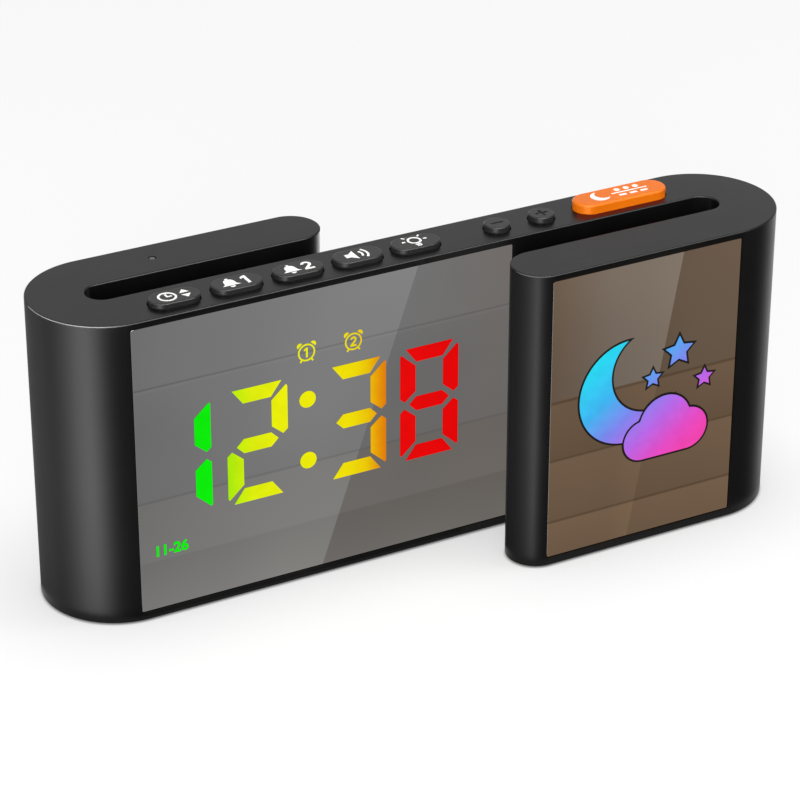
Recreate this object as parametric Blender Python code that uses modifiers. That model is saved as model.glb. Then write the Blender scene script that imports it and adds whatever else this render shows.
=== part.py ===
"""Digital alarm clock whose housing is one S-shaped band of three parallel wings.

The long middle wing shows the time behind a half-mirror panel and carries a row of buttons on
top. A short wing returns behind its left end and another in front of its right end, which shows
a night light behind a panel of its own. The two slots between the wings hold a phone or cards.

Sizes are in millimetres. The origin is the middle of the footprint on the surface that the
clock stands on, +X runs along the wings to the right, +Y to the back and +Z up.
"""

from math import acos, ceil, cos, degrees, pi, radians, sin, sqrt

import bmesh
import bpy

MM = 0.001

# Overall form
LENGTH = 189.0            # across the two round ends
HEIGHT = 80.0             # from the surface that it stands on to the flat top
WING_THICKNESS = 15.0     # each of the three wings, front to back
SLOT_WIDTH = 8.5          # between two wings
TIP_X = 22.0              # centre of each short wing's round tip, from the middle
FOOT_HEIGHT = 0.8         # how far the feet lift the housing
WALL = 2.4
ROOF = 2.0
EDGE_RADIUS = 0.4

# Clearances
GAP = 0.3                 # between pieces that touch or are fixed to each other
FIT = 0.15                # round a panel or a door in its recess
RUN = 0.25                # round a button in its opening

# Panels and what lies behind them, from front to back
PANEL_THICKNESS = 1.2
PANEL_SINK = 0.15         # the panel's face lies this far behind the wing's face
PANEL_DROP = 0.6          # lower edge of the recess, below the bottom cover's inner face
PANEL_TOP_MARGIN = 1.6    # upper edge of the recess, below the flat top
LEDGE = 1.6               # width of the step that the panel is glued to
PANEL_CORNER = 0.6
TIME_PANEL_LAP = 2.05     # of the time panel into the left bend
TIME_PANEL_COVER = 2.2    # of the time panel behind the front wing's tip
LIGHT_PANEL_LAP = 0.15    # of the light panel into the right bend
FILM = 0.4
FILM_LAP = 0.6            # of the film behind the edge of the opening
WELL_DEPTH = 5.0
BOARD = 1.6

# Seven-segment digits; places and sizes marked as shares are of the panel's width or height
DIGITS_ACROSS = (0.125, 0.320, 0.588, 0.785)
DIGITS_UP = 0.489
DIGIT_WIDTH_SHARE = 0.1547
DIGIT_HEIGHT_SHARE = 0.404
POST_WIDTH = 4.15         # upright segments
BAR_WIDTH = 3.8           # level segments
SEGMENT_GAP = 1.5
COLON_ACROSS = 0.454
COLON_PITCH_SHARE = 0.219
COLON_RADIUS = 2.2
SIGNS_ACROSS = (0.454, 0.578)
SIGN_RADIUS = 2.9
SIGN_DROP = 6.5           # of the signs' centres below the button board
NUMBER_ACROSS = 0.0926
NUMBER_UP = 0.19
NUMBER_WINDOW = (10.4, 5.6)
REFLECTOR_RIM = 1.8       # of the reflector round its outermost wells
LED_SIDE = 1.8
LED_HEIGHT = 1.0
BOARD_SKIRT = 2.0         # how far the display board reaches below the reflector
BOARD_TAIL = 14.0         # how far it reaches past the reflector on the right

# Night light in the front wing; shares of its panel's width and height
LIGHT_ACROSS = 0.5356
LIGHT_UP = 0.479
LIGHT_WINDOW_SHARES = (0.805, 0.5145)
LIGHT_BOX_WALL = 2.5
LIGHT_BOARD_RIM = 2.0
LIGHT_LED_PITCH = (14.0, 16.0)

# Ribs that the boards lie against, each with a post below it. Places along the wings are given
# from here on as shares of the half length of their straight part
RIB_WIDTH = 1.4
DISPLAY_RIBS = (-0.771, -0.326, 0.186)
LIGHT_RIBS = (0.40, 0.757)
MAIN_RIBS = (-0.824, -0.611, -0.40)
POST_LENGTH = 4.0

# Buttons, all in one row on the middle wing
BUTTON_Y = -0.75
TRAVEL = 0.6
BUTTON_EDGE = 0.25
OVAL_LENGTH_SHARE = 0.1754
OVAL_WIDTH = 7.0
OVAL_PROUD = 1.4
ROUND_DIAMETER = 6.6
ROUND_PROUD = 1.5
BAR_LENGTH_SHARE = 0.3402
BAR_WIDTH_ACROSS = 8.1
BAR_PROUD = 2.4
NECK_INSET = 2.4          # how much narrower a button is below the roof than in it
EAR = 0.9                 # how far the ears that keep a button in reach past its ends
EAR_THICKNESS = 0.7
STEM_RADIUS = 1.3
PLUNGER_RADIUS = 1.1
PLUNGER_HEIGHT = 1.6
SWITCH_SIDE = 4.5
SWITCH_HEIGHT = 3.5
SWITCH_WELL = 1.3         # depth of the well that the plunger sinks into
BUTTON_BOARD_DROP = 9.0   # of the board's upper face below the roof
BUTTON_BOARD_LAP = 2.0    # of the board into the bends
BOARD_BOSSES = (-0.981, 0.183, 0.997)
BOARD_BOSS_RADIUS = 1.9

# Bottom cover, screws and feet
BASE_THICKNESS = 2.4
COLUMN_RADIUS = 3.0
COLUMN_BITE = 0.5         # how far a screw column runs into the wall beside it
SCREW_RADIUS = 1.0
SCREW_HEAD_RADIUS = 2.1
SCREW_HEAD_HEIGHT = 1.0
BASE_SCREW_LENGTH = 10.0
BOARD_SCREW_LENGTH = 6.0
FOOT_RADIUS = 3.8
FOOT_SINK = 0.5
FOOT_INSET = (6.0, 3.25)  # from a wing's tip and from a bend

# Rear wing: main board, coin cell, power inlet
RIB_DEPTH = 2.1           # ribs that hold the main board off the slot wall
MAIN_BOARD_INSET = (2.25, 4.0)    # from the bend and from the tip's centre
MAIN_BOARD_LIFT = 4.8     # above the bottom cover
MAIN_BOARD_DROP = 8.0     # below the roof
CHIP_ALONG = -0.478
CHIP_UP = 0.60            # shares of the height
CHIP = (10.0, 10.0)
CHIP_HEIGHT = 1.6
CELL_ALONG = -0.797
CELL_UP = 0.5375
CELL_RADIUS = 10.0
CELL_THICKNESS = 3.2
HOLDER_WALL = 1.2
HOLDER_FLOOR = 0.9
DOOR_THICKNESS = 1.2
DOOR_SINK = 0.1
DOOR_LEDGE = 1.2
DOOR_TAB = 9.6            # of the door below its opening, where the screw sits
DOOR_CORNER = 2.5
DOOR_PAD_RADIUS = 3.2     # round thick place of the door under the screw's head
DOOR_BOSS_WALL = 1.0
INLET_ALONG = -0.478
INLET_LIFT = 14.0
INLET = (9.0, 3.4)
INLET_SHELL = 0.4
INLET_TONGUE = (6.4, 0.7)
INLET_DEPTH = 5.5
INLET_SINK = 0.5
SENSOR_ALONG = -0.771
SENSOR_RADIUS = 0.75
SENSOR_LENGTH = 5.0

# Speaker behind a grille in the middle wing's back wall
SPEAKER_ALONG = 0.7176
SPEAKER_UP = 0.525        # share of the height
SPEAKER_RADIUS = 14.0
SPEAKER_DEPTH = 5.0
SPEAKER_RIM = 1.2
MAGNET_RADIUS = 9.0
COLLAR_WALL = 1.2
COLLAR_DEPTH = 2.5
GRILLE_PITCH = 3.6
GRILLE_RINGS = 2
GRILLE_HOLE_RADIUS = 0.9

# Flat cables round the two ends
RIBBON = 0.4
RIBBON_WIDTH = 10.0
RIBBON_REACH = 9.5        # straight stretch on a board past the bend
REAR_RIBBON_Z = 36.0
FRONT_RIBBON_Z = 21.5
PLUG_LENGTH = 5.0
PLUG_INSET = 1.0          # of a plug from the cable's end

# Values that follow from the driving ones
HALF_WING = WING_THICKNESS / 2
HALF_INSIDE = HALF_WING - WALL
ROW_Y = WING_THICKNESS + SLOT_WIDTH
BEND_RADIUS = ROW_Y / 2
BEND_X = LENGTH / 2 - BEND_RADIUS - HALF_WING
ROOF_UNDERSIDE = HEIGHT - ROOF
IN_ROOF = HEIGHT - ROOF / 2
BASE_TOP = FOOT_HEIGHT + BASE_THICKNESS
PANEL_BOTTOM = BASE_TOP - PANEL_DROP
PANEL_TOP = HEIGHT - PANEL_TOP_MARGIN
PANEL_HEIGHT = PANEL_TOP - PANEL_BOTTOM
TIME_PANEL = (-BEND_X - TIME_PANEL_LAP, TIP_X + TIME_PANEL_COVER)
LIGHT_PANEL = (TIP_X, BEND_X + LIGHT_PANEL_LAP)
TIME_WIDTH = TIME_PANEL[1] - TIME_PANEL[0]
LIGHT_WIDTH = LIGHT_PANEL[1] - LIGHT_PANEL[0]
DIGIT_WIDTH = DIGIT_WIDTH_SHARE * TIME_WIDTH
DIGIT_HEIGHT = DIGIT_HEIGHT_SHARE * PANEL_HEIGHT
LIGHT_WINDOW = (LIGHT_WINDOW_SHARES[0] * LIGHT_WIDTH, LIGHT_WINDOW_SHARES[1] * PANEL_HEIGHT)
LIGHT_CENTRE = (LIGHT_PANEL[0] + LIGHT_ACROSS * LIGHT_WIDTH, PANEL_BOTTOM + LIGHT_UP * PANEL_HEIGHT)
RECESS_DEPTH = PANEL_SINK + PANEL_THICKNESS + GAP
FILM_FRONT = GAP - HALF_INSIDE
WELLS_FRONT = FILM_FRONT + FILM + GAP
BOARD_FRONT = WELLS_FRONT + WELL_DEPTH + GAP
BOARD_BACK = BOARD_FRONT + BOARD
RIBBON_RADIUS = BEND_RADIUS - (BOARD_BACK + HALF_INSIDE) / 2
MAIN_BOARD_FRONT = ROW_Y - HALF_INSIDE + RIB_DEPTH + GAP
MAIN_BOARD_BACK = MAIN_BOARD_FRONT + BOARD
REAR_FACE = ROW_Y + HALF_WING
REAR_INSIDE = ROW_Y + HALF_INSIDE
DOOR_FACE = REAR_FACE - DOOR_SINK
DOOR_SEAT = DOOR_FACE - DOOR_THICKNESS - GAP
CELL_CENTRE = (CELL_ALONG * BEND_X, CELL_UP * HEIGHT)
CELL_OPENING = CELL_RADIUS + GAP + 2 * HOLDER_WALL
DOOR_SCREW = (CELL_CENTRE[0], CELL_CENTRE[1] - CELL_OPENING - DOOR_TAB / 2)
DOOR_BOSS_END = MAIN_BOARD_BACK + 4 * GAP
DOOR_PILOT_END = DOOR_BOSS_END + HOLDER_FLOOR
DOOR_SCREW_LENGTH = DOOR_FACE - SCREW_HEAD_HEIGHT - 2 * GAP - DOOR_PILOT_END
INLET_CENTRE = (INLET_ALONG * BEND_X, INLET_LIFT)
SPEAKER_CENTRE = (SPEAKER_ALONG * BEND_X, SPEAKER_UP * HEIGHT)
BUTTON_BOARD_TOP = ROOF_UNDERSIDE - BUTTON_BOARD_DROP
BOSS_PLACES = [(share * BEND_X, 0) for share in BOARD_BOSSES]
OVAL = (OVAL_LENGTH_SHARE * BEND_X, OVAL_WIDTH)
ROUND = (ROUND_DIAMETER, ROUND_DIAMETER)
BAR = (BAR_LENGTH_SHARE * BEND_X, BAR_WIDTH_ACROSS)
BUTTONS = (
    # name, centre along the wing, length and width, height above the top
    ("time", -0.8385 * BEND_X, OVAL, OVAL_PROUD),
    ("alarm_1", -0.6239 * BEND_X, OVAL, OVAL_PROUD),
    ("alarm_2", -0.4093 * BEND_X, OVAL, OVAL_PROUD),
    ("volume", -0.1973 * BEND_X, OVAL, OVAL_PROUD),
    ("light", 0.0126 * BEND_X, OVAL, OVAL_PROUD),
    ("minus", 0.3110 * BEND_X, ROUND, ROUND_PROUD),
    ("plus", 0.4791 * BEND_X, ROUND, ROUND_PROUD),
    ("snooze", 0.7774 * BEND_X, BAR, BAR_PROUD),
)

CHORD_TOLERANCE = 0.08    # how far a facet may lie inside its arc
OVERCUT = 1.0             # how far a cutter runs past the face that it opens
TO_BACK = -pi / 2         # tilt of a turned piece's axis from up to the back
TO_FRONT = pi / 2

# Finishes: name, colour, metallic, roughness
BLACK_ABS = ("black_abs", (0.028, 0.028, 0.029), 0.0, 0.42)
DARK_ABS = ("dark_abs", (0.020, 0.020, 0.021), 0.0, 0.55)
BUTTON_ABS = ("button_abs", (0.040, 0.040, 0.041), 0.0, 0.38)
ORANGE_ABS = ("orange_abs", (0.90, 0.19, 0.012), 0.0, 0.35)
HALF_MIRROR = ("half_mirror", (0.22, 0.22, 0.22), 1.0, 0.04)
WHITE_ABS = ("white_abs", (0.75, 0.75, 0.72), 0.0, 0.5)
SMOKED_FILM = ("smoked_film", (0.012, 0.012, 0.012), 0.0, 0.6)
CIRCUIT_BOARD = ("circuit_board", (0.015, 0.10, 0.035), 0.0, 0.45)
STEEL = ("steel", (0.56, 0.56, 0.58), 1.0, 0.3)
RUBBER = ("rubber", (0.02, 0.02, 0.02), 0.0, 0.85)
PAPER_CONE = ("paper_cone", (0.03, 0.03, 0.03), 0.0, 0.9)
CLEAR_ACRYLIC = ("clear_acrylic", (0.45, 0.45, 0.45), 0.0, 0.15)
WHITE_CABLE = ("white_cable", (0.70, 0.70, 0.68), 0.0, 0.5)

for old in list(bpy.data.objects):
    bpy.data.objects.remove(old, do_unlink=True)

parts = bpy.data.collections.new("digital_alarm_clock")
cutters = bpy.data.collections.new("cutters")
bpy.context.scene.collection.children.link(parts)
bpy.context.scene.collection.children.link(cutters)


# Outlines

def arc(centre, radius, start, sweep):
    """Points along an arc in degrees, both ends included."""
    step = 2 * degrees(acos(1 - CHORD_TOLERANCE / radius))
    count = max(3, ceil(abs(sweep) / step))
    turns = [radians(start + sweep * index / count) for index in range(count + 1)]
    return [(centre[0] + radius * cos(turn), centre[1] + radius * sin(turn)) for turn in turns]


def circle(centre, radius):
    return arc(centre, radius, 0, 360)[:-1]


def box(left, right, bottom, top):
    return [(left, bottom), (right, bottom), (right, top), (left, top)]


def centred_box(centre, size):
    x, y = centre
    half_length, half_width = size[0] / 2, size[1] / 2
    return box(x - half_length, x + half_length, y - half_width, y + half_width)


def rounded_box(left, right, bottom, top, radius):
    outline = arc((right - radius, top - radius), radius, 0, 90)
    outline += arc((left + radius, top - radius), radius, 90, 90)
    outline += arc((left + radius, bottom + radius), radius, 180, 90)
    outline += arc((right - radius, bottom + radius), radius, 270, 90)
    return outline


def oval(centre, length, width):
    """Two half circles joined by straight sides, or a circle where the two sizes are equal."""
    reach = (length - width) / 2
    if reach <= 0:
        return circle(centre, width / 2)
    right = arc((centre[0] + reach, centre[1]), width / 2, -90, 180)
    left = arc((centre[0] - reach, centre[1]), width / 2, 90, 180)
    return right + left


def band(half):
    """The housing's S-shaped band, with the given half width along its centre line."""
    outline = arc((-TIP_X, ROW_Y), half, -90, 180)
    outline += arc((-BEND_X, BEND_RADIUS), BEND_RADIUS + half, 90, 180)
    outline += arc((BEND_X, -BEND_RADIUS), BEND_RADIUS - half, 90, -180)
    outline += arc((TIP_X, -ROW_Y), half, 90, 180)
    outline += arc((BEND_X, -BEND_RADIUS), BEND_RADIUS + half, -90, 180)
    outline += arc((-BEND_X, BEND_RADIUS), BEND_RADIUS - half, 270, -180)
    return outline


def time_panel_at(share):
    return TIME_PANEL[0] + share * TIME_WIDTH


def panel_height_at(share):
    return PANEL_BOTTOM + share * PANEL_HEIGHT


def digit(centre_x):
    """The seven segments of one digit, mitred at the corners and pointed at the middle."""
    side = DIGIT_WIDTH / 2
    top = DIGIT_HEIGHT / 2
    half = BAR_WIDTH / 2
    back = SEGMENT_GAP / sqrt(2)
    inside = side - POST_WIDTH
    point = side - POST_WIDTH / 2
    lintel = [(back - side, top), (side - back, top), (inside, top - BAR_WIDTH), (-inside, top - BAR_WIDTH)]
    post = [(side, top - back), (side, half / 2 + back / 4), (point, back), (inside, half + back),
            (inside, top - BAR_WIDTH - back)]
    middle = [(back - point, 0), (back / 2 - inside, half), (inside - back / 2, half), (point - back, 0),
              (inside - back / 2, -half), (back / 2 - inside, -half)]
    segments = [lintel, [(x, -z) for x, z in lintel], middle]
    segments += [[(across * x, up * z) for x, z in post] for across in (-1, 1) for up in (-1, 1)]
    middle_z = panel_height_at(DIGITS_UP)
    return [[(centre_x + x, middle_z + z) for x, z in segment] for segment in segments]


def light_wells():
    """Openings of the display: four digits, the colon, two round signs and a small number."""
    outlines = [segment for share in DIGITS_ACROSS for segment in digit(time_panel_at(share))]
    colon_ups = (DIGITS_UP - COLON_PITCH_SHARE / 2, DIGITS_UP + COLON_PITCH_SHARE / 2)
    colon = [(time_panel_at(COLON_ACROSS), panel_height_at(share)) for share in colon_ups]
    signs = [(time_panel_at(share), BUTTON_BOARD_TOP - BOARD - SIGN_DROP) for share in SIGNS_ACROSS]
    number = (time_panel_at(NUMBER_ACROSS), panel_height_at(NUMBER_UP))
    outlines += [circle(at, COLON_RADIUS) for at in colon]
    outlines += [circle(at, SIGN_RADIUS) for at in signs]
    outlines.append(centred_box(number, NUMBER_WINDOW))
    return outlines


def middle_of(outline):
    xs, zs = zip(*outline)
    return (min(xs) + max(xs)) / 2, (min(zs) + max(zs)) / 2


# Solids

def material(finish):
    name, colour, metallic, roughness = finish
    if name in bpy.data.materials:
        return bpy.data.materials[name]
    made = bpy.data.materials.new(name)
    made.use_nodes = True
    shader = made.node_tree.nodes["Principled BSDF"]
    shader.inputs["Base Color"].default_value = (*colour, 1.0)
    shader.inputs["Metallic"].default_value = metallic
    shader.inputs["Roughness"].default_value = roughness
    return made


def place(name, mesh, finish):
    """Put a mesh in the scene: a part where it has a finish, a cutter where it has none."""
    made = bpy.data.objects.new(name, mesh)
    if finish is None:
        cutters.objects.link(made)
        made.hide_render = True
        made.display_type = "WIRE"
        return made
    parts.objects.link(made)
    mesh.materials.append(material(finish))
    mesh.shade_smooth()
    mesh.set_sharp_from_angle(angle=radians(30))
    return made


def slab(name, outlines, low, high, finish=None, at=(0.0, 0.0), upright=False):
    """Solid between two parallel planes, with a hole where an outline lies inside another.

    A flat slab's outlines hold X and Y from the place it is put at, and its planes are heights.
    An upright slab's outlines hold X and Z, and its planes are depths along Y.
    """
    curve = bpy.data.curves.new(name, "CURVE")
    curve.dimensions = "2D"
    curve.fill_mode = "BOTH"
    curve.extrude = (high - low) / 2 * MM
    for outline in outlines:
        spline = curve.splines.new("POLY")
        spline.points.add(len(outline) - 1)
        for point, (across, along) in zip(spline.points, outline):
            point.co = (across * MM, along * MM, 0, 1)
        spline.use_cyclic_u = True
    drawn = bpy.data.objects.new(name + "_outline", curve)
    cutters.objects.link(drawn)
    evaluated = drawn.evaluated_get(bpy.context.evaluated_depsgraph_get())
    mesh = bpy.data.meshes.new_from_object(evaluated)
    bpy.data.objects.remove(drawn)
    skin = bmesh.new()
    skin.from_mesh(mesh)
    bmesh.ops.remove_doubles(skin, verts=skin.verts, dist=1e-6)
    bmesh.ops.dissolve_limit(skin, angle_limit=radians(0.5), verts=skin.verts, edges=skin.edges)
    bmesh.ops.recalc_face_normals(skin, faces=skin.faces)
    skin.to_mesh(mesh)
    skin.free()
    made = place(name, mesh, finish)
    middle = (low + high) / 2 * MM
    if upright:
        made.location = (0, middle, 0)
        made.rotation_euler = (pi / 2, 0, 0)
    else:
        made.location = (at[0] * MM, at[1] * MM, middle)
    return made


def turned(name, profile, base, finish, tilt=0.0):
    """Turned piece from (radius, height) pairs listed from its top round to its bottom."""
    mesh = bpy.data.meshes.new(name)
    corners = [(radius * MM, 0, height * MM) for radius, height in profile]
    mesh.from_pydata(corners, [(index, index + 1) for index in range(len(corners) - 1)], [])
    made = place(name, mesh, finish)
    made.location = [value * MM for value in base]
    made.rotation_euler = (tilt, 0, 0)
    widest = max(radius for radius, _ in profile)
    turn = made.modifiers.new("turn", "SCREW")
    turn.steps = max(10, ceil(pi / acos(1 - CHORD_TOLERANCE / widest)))
    turn.render_steps = turn.steps
    turn.use_merge_vertices = True
    turn.merge_threshold = 1e-7
    turn.use_smooth_shade = True
    return made


def rounded(made, width, segments=2):
    """Round the sharp edges and leave the facets of arcs alone."""
    edge = made.modifiers.new("edge", "BEVEL")
    edge.width = width * MM
    edge.segments = segments
    edge.limit_method = "ANGLE"
    edge.angle_limit = radians(45)
    return made


def combine(made, operation, others):
    for other in others:
        step = made.modifiers.new(other.name, "BOOLEAN")
        step.operation = operation
        step.object = other
        step.solver = "EXACT"
    return made


def cut(made, *others):
    return combine(made, "DIFFERENCE", others)


def join(made, *others):
    return combine(made, "UNION", others)


# Places and shapes that more than one piece uses

def wing_window(name, edges, margin, front, back, finish=None):
    """Upright plate in a panel's recess, smaller than the recess by the margin."""
    radius = max(PANEL_CORNER - margin, PANEL_CORNER / 2)
    outline = rounded_box(edges[0] + margin, edges[1] - margin, PANEL_BOTTOM + margin, PANEL_TOP - margin,
                          radius)
    return slab(name, [outline], front, back, finish, upright=True)


def column_places():
    """Centres of the four screw columns, each leaning on the wall at a round end or a tip."""
    lean = HALF_INSIDE + COLUMN_BITE - COLUMN_RADIUS
    end = BEND_X + BEND_RADIUS + lean
    tip = TIP_X - lean
    return {"left_end": (-end, BEND_RADIUS), "right_end": (end, -BEND_RADIUS),
            "rear_tip": (-tip, ROW_Y), "front_tip": (tip, -ROW_Y)}


def foot_places():
    inner = TIP_X + FOOT_INSET[0]
    outer = BEND_X - FOOT_INSET[1]
    return {"rear_inner": (-inner, ROW_Y), "rear_outer": (-outer, ROW_Y), "left": (-outer, 0),
            "front_inner": (inner, -ROW_Y), "front_outer": (outer, -ROW_Y), "right": (outer, 0)}


def reflector_edges():
    xs, zs = zip(*[corner for outline in light_wells() for corner in outline])
    return (min(xs) - REFLECTOR_RIM, max(xs) + REFLECTOR_RIM,
            min(zs) - REFLECTOR_RIM, max(zs) + REFLECTOR_RIM)


def display_board_edges():
    left, right, bottom, top = reflector_edges()
    return left, right + BOARD_TAIL, bottom - BOARD_SKIRT, top


def light_box_edges(margin):
    x, z = LIGHT_CENTRE
    half_width = LIGHT_WINDOW[0] / 2 + margin
    half_height = LIGHT_WINDOW[1] / 2 + margin
    return x - half_width, x + half_width, z - half_height, z + half_height


def light_board_edges():
    return light_box_edges(LIGHT_BOX_WALL + LIGHT_BOARD_RIM)


def main_board_edges():
    from_bend, from_tip = MAIN_BOARD_INSET
    return (from_bend - BEND_X, -TIP_X - from_tip, BASE_TOP + MAIN_BOARD_LIFT,
            ROOF_UNDERSIDE - MAIN_BOARD_DROP)


def boards():
    """Each board's ribs, its front and back, its lower edge and the top of its ribs."""
    below_button_board = BUTTON_BOARD_TOP - BOARD - SCREW_HEAD_HEIGHT - 2 * GAP
    return (
        ("display", DISPLAY_RIBS, BOARD_FRONT, BOARD_BACK, display_board_edges()[2], below_button_board),
        ("light", LIGHT_RIBS, BOARD_FRONT - ROW_Y, BOARD_BACK - ROW_Y, light_board_edges()[2], IN_ROOF),
        ("main", MAIN_RIBS, MAIN_BOARD_FRONT, MAIN_BOARD_BACK, main_board_edges()[2], IN_ROOF),
    )


def bars(shares, length, low, high):
    """Outlines of bars of one length along the wings, centred on the given shares."""
    half = length / 2
    return [box(share * BEND_X - half, share * BEND_X + half, low, high) for share in shares]


def leds(name, centres, face):
    """Square LED bodies on a board's front face, sunk into it so that they are one with it."""
    outlines = [centred_box(centre, (LED_SIDE, LED_SIDE)) for centre in centres]
    return slab(name, outlines, face - LED_HEIGHT, face + BOARD / 4, upright=True)


def plug(name, cable_end, height, front, back):
    """Block on a board that the end of a flat cable lies on."""
    left = cable_end - PLUG_INSET - PLUG_LENGTH
    outline = box(left, left + PLUG_LENGTH, height - RIBBON_WIDTH / 2, height + RIBBON_WIDTH / 2)
    return slab(name, [outline], front, back, upright=True)


def screw(name, head_base, length, tilt=0.0):
    """Pan-head screw whose axis runs from the head into the piece that it holds."""
    end = SCREW_HEAD_HEIGHT + length
    profile = [(0, end), (SCREW_RADIUS / 2, end), (SCREW_RADIUS, end - SCREW_RADIUS),
               (SCREW_RADIUS, SCREW_HEAD_HEIGHT), (SCREW_HEAD_RADIUS, SCREW_HEAD_HEIGHT),
               (SCREW_HEAD_RADIUS, SCREW_HEAD_HEIGHT / 3), (SCREW_HEAD_RADIUS * 0.8, 0), (0, 0)]
    return turned(name, profile, head_base, STEEL, tilt)


# Housing: one moulded shell, open at the bottom

def build_housing():
    shell = rounded(slab("housing", [band(HALF_WING)], FOOT_HEIGHT, HEIGHT, BLACK_ABS), EDGE_RADIUS)
    cut(shell, slab("inside_cutter", [band(HALF_INSIDE)], 0, ROOF_UNDERSIDE))
    cut_panel_windows(shell)
    add_columns(shell)
    add_ribs(shell)
    cut_button_holes(shell)
    shape_battery_bay(shell)
    shape_speaker_bay(shell)


def cut_panel_windows(shell):
    """A recess for each panel and, inside its ledge, the opening to the display."""
    for name, row_y, edges in (("time", 0, TIME_PANEL), ("light", -ROW_Y, LIGHT_PANEL)):
        face = row_y - HALF_WING
        cut(shell,
            wing_window(name + "_recess", edges, 0, face - OVERCUT, face + RECESS_DEPTH),
            wing_window(name + "_opening", edges, LEDGE, face - OVERCUT, row_y + FILM_FRONT - GAP / 2))


def add_columns(shell):
    """Screw columns for the bottom cover and bosses for the button board, all from the roof."""
    columns = column_places().values()
    column_foot = BASE_TOP + GAP
    boss_foot = BUTTON_BOARD_TOP + GAP
    join(shell,
         slab("columns", [circle(at, COLUMN_RADIUS) for at in columns], column_foot, IN_ROOF),
         slab("board_bosses", [circle(at, BOARD_BOSS_RADIUS) for at in BOSS_PLACES], boss_foot, IN_ROOF))
    pilot = SCREW_RADIUS + GAP
    cut(shell,
        slab("column_pilots", [circle(at, pilot) for at in columns], 0, column_foot + BASE_SCREW_LENGTH),
        slab("boss_pilots", [circle(at, pilot) for at in BOSS_PLACES], 0, boss_foot + BOARD_SCREW_LENGTH))


def add_ribs(shell):
    """Upright ribs on the walls behind the display, the night light and the main board."""
    in_wall = HALF_INSIDE + WALL / 2
    walls = {"display": in_wall, "light": in_wall - ROW_Y, "main": ROW_Y - in_wall}
    for name, shares, front, back, _, top in boards():
        wall = walls[name]
        near, far = (wall, front - GAP) if wall < front else (back + GAP, wall)
        outlines = bars(shares, RIB_WIDTH, BASE_TOP + 2 * GAP, top)
        join(shell, slab(name + "_ribs", outlines, near, far, upright=True))


def cut_button_holes(shell):
    holes = [oval((x, BUTTON_Y), size[0] + 2 * RUN, size[1] + 2 * RUN) for _, x, size, _ in BUTTONS]
    holes.append(circle((SENSOR_ALONG * BEND_X, ROW_Y), SENSOR_RADIUS + RUN))
    cut(shell, slab("button_holes", holes, ROOF_UNDERSIDE - GAP, HEIGHT + OVERCUT))


def battery_door_edges(margin):
    """The door's recess, or the door itself with a margin."""
    x, z = CELL_CENTRE
    reach = CELL_OPENING + DOOR_LEDGE - margin
    return x - reach, x + reach, z - CELL_OPENING - DOOR_TAB + margin, z + reach


def shape_battery_bay(shell):
    """Battery opening with its stepped recess and screw boss, and the power inlet's opening."""
    x, z = CELL_CENTRE
    side = CELL_OPENING
    bore = DOOR_PAD_RADIUS + GAP
    bore_floor = REAR_INSIDE - 2 * GAP
    inlet = oval(INLET_CENTRE, INLET[0] + 2 * GAP, INLET[1] + 2 * GAP)
    join(shell, slab("door_boss", [circle(DOOR_SCREW, bore + DOOR_BOSS_WALL)], DOOR_BOSS_END, DOOR_SEAT,
                     upright=True))
    cut(shell,
        slab("door_recess", [rounded_box(*battery_door_edges(0), DOOR_CORNER)], DOOR_SEAT,
             REAR_FACE + OVERCUT, upright=True),
        slab("door_pad_bore", [circle(DOOR_SCREW, bore)], bore_floor, REAR_FACE, upright=True),
        slab("door_pilot", [circle(DOOR_SCREW, SCREW_RADIUS + GAP)], DOOR_PILOT_END, REAR_FACE,
             upright=True),
        slab("cell_opening", [rounded_box(x - side, x + side, z - side, z + side, DOOR_CORNER)],
             REAR_INSIDE - OVERCUT, REAR_FACE, upright=True),
        slab("inlet_opening", [inlet], REAR_INSIDE - OVERCUT, REAR_FACE + OVERCUT, upright=True))


def shape_speaker_bay(shell):
    """Collar round the speaker and the rings of grille holes in the wall behind it."""
    inner = SPEAKER_RADIUS + GAP
    collar = [circle(SPEAKER_CENTRE, inner + COLLAR_WALL), circle(SPEAKER_CENTRE, inner)]
    join(shell, slab("speaker_collar", collar, HALF_INSIDE - COLLAR_DEPTH, HALF_INSIDE + WALL / 2,
                     upright=True))
    x, z = SPEAKER_CENTRE
    holes = [circle(SPEAKER_CENTRE, GRILLE_HOLE_RADIUS)]
    for ring in range(1, GRILLE_RINGS + 1):
        reach = ring * GRILLE_PITCH
        turns = [pi / 3 * index / ring for index in range(6 * ring)]
        holes += [circle((x + reach * cos(turn), z + reach * sin(turn)), GRILLE_HOLE_RADIUS) for turn in turns]
    cut(shell, slab("grille_holes", holes, HALF_INSIDE - GAP, HALF_WING + OVERCUT, upright=True))


# Bottom cover with its screws and rubber feet

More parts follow.
